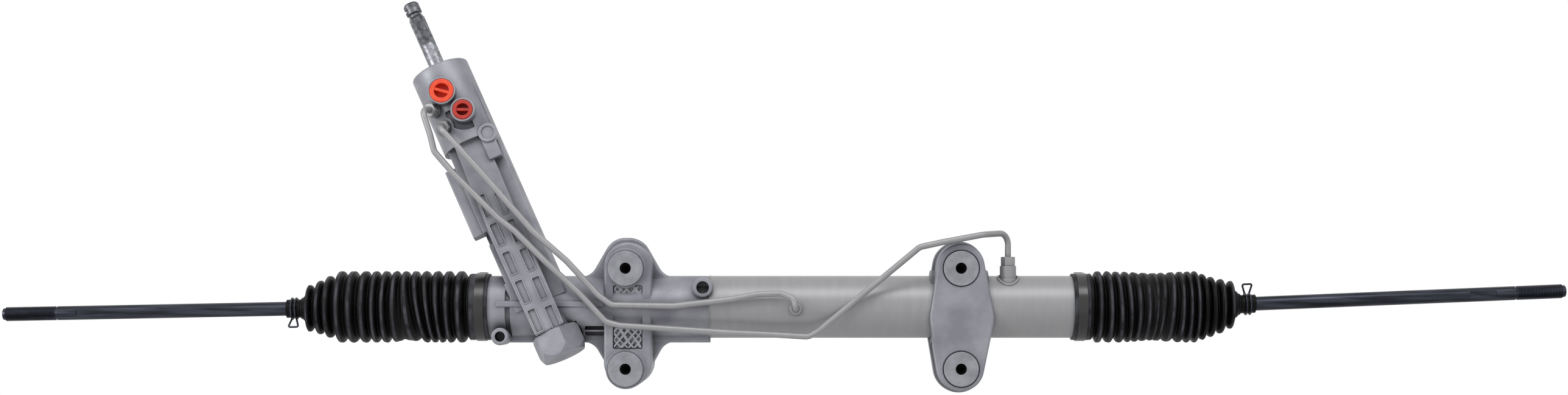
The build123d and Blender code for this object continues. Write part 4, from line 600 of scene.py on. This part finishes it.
def fold_keys(mouth, housing_end, crests, radii, neck_start, neck_end):
    """Crest and valley points of a bellows as (distance, radius), from its mouth outwards, in mm."""
    out = 1 if neck_end > mouth else -1
    keys = [(mouth, CUFF_RADIUS), (housing_end - out * CUFF_BEVEL, CUFF_RADIUS),
            (housing_end + out * GROOVE_PLACE, GROOVE_RADIUS)]
    for index, (place, radius) in enumerate(zip(crests, radii)):
        last = index + 1 == len(crests)
        after = neck_start - out * TAIL_LENGTH if last else crests[index + 1]
        after_radius = radius - TAIL_DROP if last else radii[index + 1]
        keys.append((place, radius))
        keys.append(((place + after) / 2, min(radius, after_radius) - FOLD_DEPTH))
    keys.append((neck_start - out * NECK_TURN, NECK_FOOT_RADIUS))
    keys.append((neck_start + out * NECK_TURN, NECK_RADIUS))
    keys.append((neck_end, NECK_RADIUS))
    return np.array(keys)


def eased_radius(x, keys):
    """Radius at each x: half a cosine wave from key to key, with more time lent to the larger radius."""
    places, radii = keys[np.argsort(keys[:, 0])].T
    left = np.clip(np.searchsorted(places, x) - 1, 0, len(places) - 2)
    t = np.clip((x - places[left]) / (places[left + 1] - places[left]), 0, 1)
    r0, r1 = radii[left], radii[left + 1]
    lent = np.where(r1 > r0, 1 - (1 - t) ** LINGER, t ** LINGER)
    return r0 + (r1 - r0) * (1 - np.cos(np.pi * lent)) / 2


# %% [markdown]
# Gravity has pushed some folds sideways at the bottom and flattened others. A list of dents gives the
# place, the reach and the side of each push. The wall's inner side is the same curve, 1.6 mm in, and 0.9
# mm in at the thinner shoulder.

# %% Wall of a bellows
AROUND = 128  # points round the wall
MOST_FLAT = 0.85  # share of a fold's height that a dent can take away
FLAT_LEVEL = 0.55  # depth at which a flattened fold lies, as a share of the fold's depth
WAVER_LOBES = 3  # unevenness: lobes round the wall,
WAVER_TWIST = 0.23  # how they turn with the distance along it, in radians per mm,
WAVER_PACE = 1.31  # and how they come and go


def dent(x, angle, dents):
    """Sum of smooth bumps over x and angle. Each is (place, reach before, reach after, side, amount).

    A bump falls off as exp(-(distance / reach)^2) along x, and as (1 + cos) / 2 round from its side."""
    total = np.zeros((len(x), len(angle)))
    for place, before, after, side, amount in dents:
        away = (x - place) / np.where(x < place, before, after)
        total += amount * np.exp(-away ** 2)[:, None] * (1 + np.cos(angle - side))[None, :] / 2
    return total


def tube_wall(name, x, outer, inner, rise, waver, pushes=(), flats=()):
    """Closed wall of revolution: outer and inner surfaces on a grid of x by angle, joined at each end.

    A point is (x + push, RACK_Y + r sin a, RACK_Z + rise + r cos a), where r also wavers a little with the
    angle, and comes nearer to the folds' mean radius where they are flattened."""
    angle = full_turn(AROUND)
    loop_x = np.concatenate([x, x[::-1]])
    loop_rise = np.concatenate([rise, rise[::-1]])
    flat = np.clip(dent(x, angle, flats), 0, MOST_FLAT)
    mean = CREST_RADIUS - FOLD_DEPTH * FLAT_LEVEL
    level = outer[:, None] - flat * (outer[:, None] - mean)
    wall = (outer - inner)[:, None]
    r = np.concatenate([level, (level - wall)[::-1]])
    lobes = np.sin(WAVER_LOBES * angle[None, :] + loop_x[:, None] * WAVER_TWIST)
    r = r * (1 + waver * lobes * np.sin(loop_x[:, None] * WAVER_PACE))
    push = dent(loop_x, angle, pushes)
    points = np.stack([(loop_x[:, None] + push) * MM,
                       RACK_Y + r * np.sin(angle) * MM,
                       RACK_Z + (loop_rise[:, None] + r * np.cos(angle)) * MM], axis=-1)
    faces = grid_faces(*r.shape)
    if x[-1] > x[0]:
        faces = faces[:, ::-1]
    return mesh_piece(name, points, faces)


# %% [markdown]
# The rubber's finish paints a highlight along the crests, so it needs to know where they are, and it can't
# see the folds. The mesh keeps that as a number at each point.

# %% Mark the crests
CREST_HIGHLIGHT_BAND = 0.16  # height of the part of a crest that gets the painted highlight, in mm
CREST_REACH = 7.0  # a point belongs to the highest crest within this distance
CREST_HIGHLIGHT_OVER = 14.0  # the neck, whose radius is less, gets no painted highlight


def mark_crests(piece, x, outer):
    """Keeps on the mesh how near each point is to the top of its fold, from 0 to 1, for the material."""
    close = np.abs(x[:, None] - x[None, :]) < CREST_REACH
    top = np.where(close, outer[None, :], 0).max(axis=1)
    crest = smooth(1 - (top - outer) / CREST_HIGHLIGHT_BAND) * (outer > CREST_HIGHLIGHT_OVER)
    both_sides = np.concatenate([crest, 0 * crest])
    attribute = piece.data.attributes.new("crest", "FLOAT", "POINT")
    attribute.data.foreach_set("value", np.repeat(both_sides, AROUND))


# %% [markdown]
# Each bellows is cut where the joints need it: folds between housing and rack, a shoulder up to the ball's
# lift, and a neck on the tie rod. The tie rods don't lie level: the left one droops by 1.1 degrees and the
# right one rises by 2.33. Each bellows' axis therefore leaves the rack's axis over its last folds and
# meets the rod's axis at the neck.

# %% Places and dents of both bellows
LEFT_CRESTS = [-326.6, -338.8, -349.9, -361.1, -371.2, -381.2, -390.2, -400.3, -410.8, -420.9,
               -432.8, -444.3, -456.3, -465.4, -476.4]
RIGHT_CRESTS = [299.4, 309.4, 317.3, 325.5, 333.5, 342.0, 352.2, 360.6, 371.2, 380.4, 387.8,
                395.0, 402.8, 411.0, 420.6, 430.8]
ABOVE = 0.0
BELOW = math.pi
FRONT = 1.5 * math.pi
SIDES = {
    "left": {"mouth": -298.0, "end": -317.0, "crests": LEFT_CRESTS, "taper": [35.2, 30.4, 26.4, 23.0],
             "neck": (-484.0, -498.5), "ball": -401.0, "rise": -math.tan(math.radians(1.1)),
             "folds_to": -440.0, "shoulder_to": -463.0, "lean": (-455.0, -477.0),
             "pushes": [(-374.0, 11.0, 27.0, BELOW, 11.0), (-415.0, 12.0, 12.0, FRONT, 1.2)],
             "flats": [(-384.0, 7.0, 7.0, BELOW, 0.8)]},
    "right": {"mouth": 274.0, "end": 292.0, "crests": RIGHT_CRESTS, "taper": [35.2, 32.4, 29.6, 26.8, 23.6],
              "neck": (440.0, 455.0), "ball": 377.0, "rise": math.tan(math.radians(2.33)),
              "folds_to": 412.0, "shoulder_to": 426.0, "lean": (412.0, 434.0),
              "pushes": [(343.0, 18.0, 20.0, FRONT, 5.0), (364.0, 16.0, 16.0, BELOW, -5.0),
                         (321.0, 9.0, 9.0, BELOW, 3.5)],
              "flats": [(352.0, 26.0, 24.0, ABOVE, 0.7), (354.0, 22.0, 20.0, BELOW, 0.8)]},
}
print("crests", len(LEFT_CRESTS), len(RIGHT_CRESTS))

# %% [markdown]
# Each bellows is made of three pieces: the folds, which reach from the housing to the rack, the shoulder
# at the ball's seat, and the neck on the rod.

# %% Build both bellows
SAMPLES_PER_MM = 2.4
WALL = 1.6
SHOULDER_WALL = 0.9  # thinner, so that it bends round the rod
CUFF_BORE = 30.62
CUFF_OVERRUN = 0.2  # the cuff's bore goes this far past the housing's end
NECK_BORE = 7.0
NECK_OVER = 9.2  # the wall belongs to the neck where its radius is less
FOLD_WAVER = 0.006


def bellows(side, facts):
    """The folds, shoulder and neck of one bellows, each as a piece of its own."""
    out = 1 if side == "right" else -1
    radii = [CREST_RADIUS] * (len(facts["crests"]) - len(facts["taper"])) + facts["taper"]
    keys = fold_keys(facts["mouth"], facts["end"], facts["crests"], radii, *facts["neck"])
    cuts = [facts["mouth"], facts["folds_to"], facts["shoulder_to"], facts["neck"][1]]
    names = [f"{side}_bellows_{stretch}" for stretch in ("folds", "shoulder", "neck")]
    lean_start, lean_end = facts["lean"]
    pieces = []
    for index, name in enumerate(names):
        count = int(abs(cuts[index + 1] - cuts[index]) * SAMPLES_PER_MM) + 1
        x = np.linspace(cuts[index], cuts[index + 1], count)
        outer = eased_radius(x, keys)
        inner = outer - (SHOULDER_WALL if index == 1 else WALL)
        inner = np.where(out * (facts["end"] + out * CUFF_OVERRUN - x) > 0, CUFF_BORE, inner)
        inner = np.where(outer < NECK_OVER, NECK_BORE, inner)
        leaving = smooth((x - lean_start) / (lean_end - lean_start))
        rise = leaving * facts["rise"] * np.abs(x - facts["ball"])
        if index == 0:
            piece = tube_wall(name, x, outer, inner, rise, FOLD_WAVER, facts["pushes"], facts["flats"])
        else:
            piece = tube_wall(name, x, outer, inner, rise, 0.0)
        mark_crests(piece, x, outer)
        piece.data.materials.append(FINISHES["rubber"])
        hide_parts(f"{side}_boot")
        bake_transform(piece)
        pieces.append(piece)
    return pieces


for side, facts in SIDES.items():
    made = bellows(side, facts)
    print(side, "bellows", [len(piece.data.polygons) for piece in made], "faces")

# %% [markdown]
# ## Turned pieces
#
# Rubber rings sit round both ends of each mounting sleeve, and a lip seal closes the valve round the input
# shaft. Both are profiles turned once round an axis. A profile is a closed loop of (radius, height)
# points, so one helper serves them all: it takes the axis as a point and a direction, and lays rings of
# points round it.

# %% Profiles turned round any axis
AT_AXIS = 0.001  # radius at which a profile closes on its axis, in mm
NEARLY_UPRIGHT = 0.9  # past this share of Z, a side is found from the X axis instead


def turned_piece(name, profile, foot, axis, around=72):
    """Closed loop of (radius, height) points turned round an axis.

    A point is foot + height * axis + radius * (cos a * side + sin a * third), with a over a full turn."""
    axis = np.array(axis, float)
    side = np.cross(axis, [0.0, 0.0, 1.0] if abs(axis[2]) < NEARLY_UPRIGHT else [1.0, 0.0, 0.0])
    side /= np.linalg.norm(side)
    third = np.cross(axis, side)
    angle = full_turn(around)
    spoke = np.cos(angle)[:, None] * side + np.sin(angle)[:, None] * third
    radius, height = np.array(profile, float).T
    points = (np.array(foot, float) + height[:, None, None] * axis + radius[:, None, None] * spoke) * MM
    faces = grid_faces(len(profile), around)
    area = np.sum(radius * np.roll(height, -1) - np.roll(radius, -1) * height)
    if area < 0:
        faces = faces[:, ::-1]
    return mesh_piece(name, points, faces)


def rounded_loop(corners, radius, steps=5):
    """Loop of corners with each replaced by a quadratic curve that starts radius away from it."""
    corners = np.array(corners, float)
    before, after = np.roll(corners, 1, axis=0), np.roll(corners, -1, axis=0)
    to_before = (before - corners) / np.linalg.norm(before - corners, axis=1, keepdims=True)
    to_after = (after - corners) / np.linalg.norm(after - corners, axis=1, keepdims=True)
    start, end = corners + to_before * radius, corners + to_after * radius
    t = np.linspace(0, 1, steps)[None, :, None]
    curve = (1 - t) ** 2 * start[:, None] + 2 * t * (1 - t) * corners[:, None] + t ** 2 * end[:, None]
    return curve.reshape(-1, 2)


def dressed(piece, material, slot, body, *replaced):
    """Gives a piece its material and the body it moves with, and hides the nodes it stands for. The slot is
    not used.
    """
    piece.data.materials.clear()
    piece.data.materials.append(material)
    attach(piece, body)
    if replaced:
        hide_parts(*replaced)
    return piece


# %% [markdown]
# The rubber ring of a mount has a groove round its outside, so that it can bulge when the mount is loaded.
# It lies between the disc of its sleeve and the casting.

# %% Rubber rings of the four mounting points
BOLTS = [(x, z) for x in (-BOLT_X, BOLT_X) for z in (-BOLT_Z, BOLT_Z)]
TO_THE_BACK = (0, 1, 0)
SLEEVE_FRONT = -68.0  # front of the discs, in the frame, in mm
DISC = 4.0
RING_LENGTH = 9.6
RING_RADII = (6.95, 13.95)
RING_GAP = 0.05  # between the rubber and the metal at each end
RING_ROUNDING = 0.6
GROOVE_HALF_WIDTH = 1.6
GROOVE_DEPTH = 1.4


def ring_profile():
    """Moulded ring: a rectangle with a groove in the middle of its outer side."""
    inner, outer = RING_RADII
    middle = RING_LENGTH / 2
    return rounded_loop([(inner, RING_GAP), (outer, RING_GAP), (outer, middle - GROOVE_HALF_WIDTH),
                         (outer - GROOVE_DEPTH, middle), (outer, middle + GROOVE_HALF_WIDTH),
                         (outer, RING_LENGTH - RING_GAP), (inner, RING_LENGTH - RING_GAP)], RING_ROUNDING)


for number, (x, z) in enumerate(BOLTS):
    for end, front in (("front", SLEEVE_FRONT + DISC), ("rear", -DISC - RING_LENGTH)):
        ring = turned_piece(f"mount_ring_{number}_{end}", ring_profile(), (x, front, z), TO_THE_BACK)
        dressed(ring, FINISHES["rubber"], "rubber", "housing", "mount_bushes")
print("mount rings", 2 * len(BOLTS))

# %% [markdown]
# Each bolt hole looks black inside. A thin black rubber disc, set back in the bore, stands in for that
# shade: a dished profile, turned round the bolt's axis.

# %% Black discs that stand in for the shade in the bolt holes
PLUG_RADIUS = 5.5 - 0.02  # the bore's radius and a hair less
PLUG_SET_BACK = 7.0
PLUG_LENGTH = 4.0
PLUG_RIM = 1.2  # width of the raised rim
PLUG_SLOPE = 0.4  # from the rim to the dish
PLUG_DISH = (1.4, 1.0)  # depth of the dish at its middle and beside the rim


def bore_shade_plug(name, x, z):
    """Dished black rubber disc with a raised rim, which fills the sleeve's bore and stands in for its shade.
    """
    profile = [(AT_AXIS, PLUG_DISH[0]), (PLUG_RADIUS - PLUG_RIM - PLUG_SLOPE, PLUG_DISH[1]),
               (PLUG_RADIUS - PLUG_RIM, 0.0), (PLUG_RADIUS, 0.0), (PLUG_RADIUS, PLUG_LENGTH),
               (AT_AXIS, PLUG_LENGTH)]
    return turned_piece(name, profile, (x, SLEEVE_FRONT + PLUG_SET_BACK, z), TO_THE_BACK, around=48)


# black discs put where the bolt holes hold only shade
for number, (x, z) in enumerate(BOLTS):
    dressed(bore_shade_plug(f"bore_shade_plug_{number}", x, z), FINISHES["rubber"], "rubber", "housing")
print("bore shade plugs", len(BOLTS))

# %% [markdown]
# The lip seal at the top of the tower is seen from above: a lip that leans in on the shaft, a groove for
# its garter spring, and an outer rim. The CAD model has a plain ring there, so its place and its height
# are kept.

# %% Lip seal of the input shaft
SEAL_BOTTOM = 249.1  # heights along the tower's axis, in mm
SEAL_TOP = 255.8
SEAL_RADIUS = 16.9
SEAL_FLANGE = 12.0  # radius at which the thick outer part starts, at the bottom
SHAFT_RADIUS = 7.85
SEAL_LIP = [(0.1, -2.6), (1.0, -0.9), (2.4, -0.4), (3.2, -2.2), (5.6, -2.2), (6.4, -0.1)]
SEAL_RIM_DROP = 0.1  # the rim lies this far under the top
SEAL_HOLLOW = (1.6, 1.5)  # under the lip: out from the shaft, and up from the bottom
SEAL_ROUNDING = 0.3


def lip_seal():
    """Rubber-covered ring, whose lip and groove are given from the shaft outwards and from the top down."""
    profile = [(SHAFT_RADIUS + out, SEAL_TOP + up) for out, up in SEAL_LIP]
    profile += [(SEAL_RADIUS, SEAL_TOP - SEAL_RIM_DROP), (SEAL_RADIUS, SEAL_BOTTOM),
                (SEAL_FLANGE, SEAL_BOTTOM), (SHAFT_RADIUS + SEAL_HOLLOW[0], SEAL_BOTTOM + SEAL_HOLLOW[1])]
    profile = rounded_loop(profile, SEAL_ROUNDING, steps=3)
    return turned_piece("input_lip_seal", profile, TOWER_FOOT, TOWER_AXIS, around=96)


seal = dressed(lip_seal(), FINISHES["rubber"], "rubber", "housing", "top_seal")
print("lip seal", len(seal.data.polygons), "faces")

# %% [markdown]
# ## Torsion bar
#
# The spring bar inside the valve is pinned to the pinion below and to the input shaft above. When the
# shaft turns against the pinion, the bar's waist twists. It is turned here with enough rings along its
# waist for that.

# %% Torsion bar with a ringed waist
BAR_ENDS = (140.0, 325.0)  # heights along the tower's axis, in mm
BAR_HEAD = 15.0  # length of each thick end
BAR_CONE = 4.0
BAR_RADII = (4.2, 3.0)  # of the ends and of the waist
WAIST_RINGS = 60


def bar_profile():
    """Closed profile of the bar: a thick end, a long waist in many rings, and the other thick end."""
    low, high = BAR_ENDS
    thick, thin = BAR_RADII
    waist = np.linspace(low + BAR_HEAD + BAR_CONE, high - BAR_HEAD - BAR_CONE, WAIST_RINGS)
    lower = [(AT_AXIS, low), (thick, low), (thick, low + BAR_HEAD)]
    upper = [(thick, high - BAR_HEAD), (thick, high), (AT_AXIS, high)]
    return lower + [(thin, height) for height in waist] + upper


bar = turned_piece("twisting_torsion_bar", bar_profile(), TOWER_FOOT, TOWER_AXIS, around=48)
bar.data.materials.append(FINISHES["ground_steel"])
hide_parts("torsion_bar")
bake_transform(bar)
print("torsion bar", len(bar.data.polygons), "faces")

# %% [markdown]
# ## Beads of weld, braze and sealant
#
# Where the steel ports meet the tube there is a bead of weld or braze, and at the joint of casting and
# tube a thin line of sealant. Each is a small round section carried along a closed path that lies on the
# tube. Welds show ripples about 2 mm apart, so the section's radius rises and falls along the path.

# %% A bead along a path
RIPPLE_STEPS = 6  # points of the path to one ripple
BEAD_AROUND = 10  # points round the section


def carried(path, radius, up, side, around):
    """Points of a round section carried along a path: path + radius * (cos a * up + sin a * side)."""
    angle = full_turn(around)
    section = np.cos(angle)[None, :, None] * up[:, None] + np.sin(angle)[None, :, None] * side[:, None]
    return (path[:, None] + radius[:, None, None] * section) * MM


def bead(name, path, normal, width, ripple):
    """Bead of the given width along a closed path, in mm. Its section lies across the path's tangent."""
    tangent = np.roll(path, -1, axis=0) - np.roll(path, 1, axis=0)
    tangent /= np.linalg.norm(tangent, axis=1, keepdims=True)
    side = np.cross(tangent, normal)
    side /= np.linalg.norm(side, axis=1, keepdims=True)
    up = np.cross(side, tangent)
    steps = np.arange(len(path))
    radius = width / 2 * (1 + ripple * np.abs(np.sin(steps * np.pi / RIPPLE_STEPS)))
    points = carried(path, radius, up, side, BEAD_AROUND)
    return mesh_piece(name, points, grid_faces(len(path), BEAD_AROUND))


# %% [markdown]
# A bead round a port is a circle of the port's own radius that is pressed down on the tube: its third
# coordinate follows from the other two and the tube's radius.

# %% Beads that lie on the tube
TUBE_RADIUS = 30.5
RACK_AXIS = np.array([0.0, RACK_Y / MM, RACK_Z / MM])
SEAM_X = -81.6  # where the casting ends on the tube
SEAM_SUNK = 0.1


def ring_on_tube(across, x, height, from_top, count):
    """Circle of radius across, laid on the tube about a port on its top or on its front."""
    angle = full_turn(count)
    along = x + across * np.cos(angle)
    sideways = height + across * np.sin(angle)
    out = np.sqrt(TUBE_RADIUS ** 2 - sideways ** 2)
    upright = (sideways, out) if from_top else (-out, sideways)
    return RACK_AXIS + np.stack([along, *upright], axis=-1), np.stack([0 * along, *upright], axis=-1)


def round_the_tube(x, radius, count):
    """Circle round the tube at x, with the outward direction at each of its points."""
    angle = full_turn(count)
    out = np.stack([0 * angle, np.cos(angle), np.sin(angle)], axis=-1)
    return RACK_AXIS + [x, 0, 0] + radius * out, out


on_port = ring_on_tube(across=9.4, x=210.5, height=-12.0, from_top=True, count=180)
on_collar = ring_on_tube(across=6.3, x=2.5, height=-2.0, from_top=False, count=120)
on_seam = round_the_tube(SEAM_X, TUBE_RADIUS - SEAM_SUNK, count=300)
weld = bead("port_weld_bead", *on_port, width=2.6, ripple=0.35)
braze = bead("collar_braze_bead", *on_collar, width=1.8, ripple=0.15)
seam = bead("seam_sealant", *on_seam, width=1.3, ripple=0.0)
for piece in (weld, braze, seam):
    dressed(piece, FINISHES["grey_steel"], "grey_steel", "housing")
print("beads", [len(piece.data.polygons) for piece in (weld, braze, seam)], "faces")

# %% [markdown]
# ## Knurled pocket
#
# The web between the two left bushings has a pocket whose floor is cast with a lattice of crossed ribs
# round small diamond hollows, above and below a smooth field. The height over the floor is the larger of
# two triangle waves that cross at a slant, so each wave's crest is a rib. The waves wander a little, as
# the ribs of a worn pattern do. The same height, kept as an attribute of the mesh, paints shade into the
# hollows.

# %% Lattice of the pocket's floor
POCKET_FLOOR = -59.0  # all in mm
POCKET_X = (-174.8, -147.2)
UPPER_FIELD_Z = (17.0, 31.8)
LOWER_FIELD_Z = (-28.6, -9.0)
UPPER_RIB_HEIGHT = 1.2
LOWER_RIB_HEIGHT = 2.4
LATTICE_PITCH = 7.0
LATTICE_SLANT = 0.85
LATTICE_SAMPLES_PER_MM = 3.2
RIB_STARTS = 0.40  # height of the wave at which a rib starts to rise,
RIB_STEEPNESS = 3.2  # and how fast it rises
OVER_FLOOR = 0.1
SKIRT = 0.6  # how far the edges go back into the floor
FIRST_WANDER = (0.16, 0.21, 0.37)  # amount in pitches, and radians per mm by x and by z
SECOND_WANDER = (0.14, 0.31, -0.17)


def triangle_wave(value):
    """0 at whole numbers, 1 half way between them."""
    return 1 - np.abs(2 * (value - np.floor(value)) - 1)


def wander(x, z, amount, by_x, by_z):
    """Slow sine over the floor that shifts a wave by at most the amount, in pitches."""
    return amount * np.sin(x * by_x + z * by_z)


def lattice_field(name, x_ends, z_ends, depth):
    """Plate in X and Z whose front carries crossed ribs, closed by skirts that go back into the floor."""
    across, up = (int((ends[1] - ends[0]) * LATTICE_SAMPLES_PER_MM) for ends in (x_ends, z_ends))
    x, z = np.meshgrid(np.linspace(*x_ends, across), np.linspace(*z_ends, up), indexing="ij")
    first = triangle_wave((x + z * LATTICE_SLANT) / LATTICE_PITCH + wander(x, z, *FIRST_WANDER))
    second = triangle_wave((x - z * LATTICE_SLANT) / LATTICE_PITCH + wander(x, z, *SECOND_WANDER))
    rib = smooth((np.maximum(first, second) - RIB_STARTS) * RIB_STEEPNESS)
    edge = (x == x_ends[0]) | (x == x_ends[1]) | (z == z_ends[0]) | (z == z_ends[1])
    y = POCKET_FLOOR - np.where(edge, -SKIRT, OVER_FLOOR + depth * rib)
    faces = grid_faces(across, up, rows_close=False, cols_close=False)[:, [0, 3, 2, 1]]
    rim = np.concatenate([np.arange(up - 1), np.arange(across - 1) * up + up - 1,
                          (across - 1) * up + np.arange(up - 1, 0, -1), np.arange(across - 1, 0, -1) * up])
    points = np.stack([x, y, z], axis=-1) * MM
    piece = mesh_piece(name, points, faces, caps=[rim.tolist()], smooth_shaded=False)
    hollow = piece.data.attributes.new("hollow", "FLOAT", "POINT")
    hollow.data.foreach_set("value", np.where(edge, 0, 1 - rib).reshape(-1))
    return piece


# %% [markdown]
# The lattice has the casting's paint, a little lighter on its ribs, with painted shade, nearly black, in its
# hollows.

# %% Lattice paint and its two fields


def painted_shade_in_hollows():
    """The casting's paint, with shade painted nearly black into the hollows of the lattice."""
    material, tree, shader = new_material("silver_paint_on_lattice", {"Metallic": 0.2, "Roughness": 0.5})
    patches = object_noise(tree, size_mm=9.0, detail=3.0)
    colour = lay_colour(tree, shader, "#8E8F96", "#A9AAB0", patches)
    hollow = add_node(tree, "ShaderNodeAttribute", attribute_name="hollow")
    deep = add_node(tree, "ShaderNodeMapRange", {"Value": hollow.outputs["Fac"],
                                                 "From Min": 0.35, "From Max": 0.95})
    # worn: patches where the painted shade of the hollows is stronger or weaker
    worn = add_node(tree, "ShaderNodeMapRange", {"Value": object_noise(tree, size_mm=6.0),
                                                 "From Min": 0.3, "From Max": 0.65,
                                                 "To Min": 0.15, "To Max": 0.9})
    dark = add_node(tree, "ShaderNodeMath", {0: deep.outputs[0], 1: worn.outputs[0]}, operation="MULTIPLY")
    # painted shade, nearly black, in the hollows
    lay_colour(tree, shader, colour, "#1B1B1E", dark.outputs[0])
    bumped(tree, shader, object_noise(tree, size_mm=1.6, detail=3.0), distance_mm=0.3, strength=0.5)
    return material


lattice_paint = painted_shade_in_hollows()
upper = lattice_field("upper_lattice", POCKET_X, UPPER_FIELD_Z, UPPER_RIB_HEIGHT)
lower = lattice_field("lower_lattice", POCKET_X, LOWER_FIELD_Z, LOWER_RIB_HEIGHT)
for field in (upper, lower):
    dressed(field, lattice_paint, "cast_aluminium", "housing")
print("lattices", len(upper.data.polygons), len(lower.data.polygons), "faces")

# %% [markdown]
# ## Mould line of the tower
#
# Down the right side of the valve body runs a raised line, where the halves of the sand mould met. It is a
# thin bead on the cylinder of the tower, 62 degrees round from the front, fading out at both ends.

# %% Mould line on the tower
TOWER_RADIUS = 29.0
LINE_HEIGHTS = (168.0, 232.0)  # along the tower's axis, in mm
LINE_TURN = math.radians(62)
LINE_DRIFT = 0.05  # bow of the line at its middle, in radians
LINE_WIDTH = 3.4
LINE_SUNK = 0.3
LINE_END = 1e-4  # share of the section's area that is left at the ends
LINE_STEPS = 90
LINE_AROUND = 12


def mould_line(name, low, high):
    """Half-sunk bead up the side of the tower, whose section shrinks to nothing at both ends."""
    height = np.linspace(low, high, LINE_STEPS)
    arch = np.sin((height - low) / (high - low) * np.pi)
    turn = LINE_TURN + LINE_DRIFT * arch
    out = np.sin(turn)[:, None] * TOWER_RIGHT - np.cos(turn)[:, None] * TOWER_BACK
    centre = TOWER_FOOT + height[:, None] * TOWER_AXIS + (TOWER_RADIUS - LINE_SUNK) * out
    across = np.cross(TOWER_AXIS, out)
    radius = LINE_WIDTH / 2 * np.sqrt(np.clip(arch, LINE_END, 1))
    points = carried(centre, radius, out, across, LINE_AROUND)
    top = LINE_AROUND * (LINE_STEPS - 1)
    caps = [list(range(LINE_AROUND - 1, -1, -1)), list(range(top, top + LINE_AROUND))]
    return mesh_piece(name, points, grid_faces(LINE_STEPS, LINE_AROUND, rows_close=False), caps)


line = mould_line("tower_mould_line", *LINE_HEIGHTS)
dressed(line, FINISHES["cast_aluminium"], "cast_aluminium", "housing")
print("mould line", len(line.data.polygons), "faces")
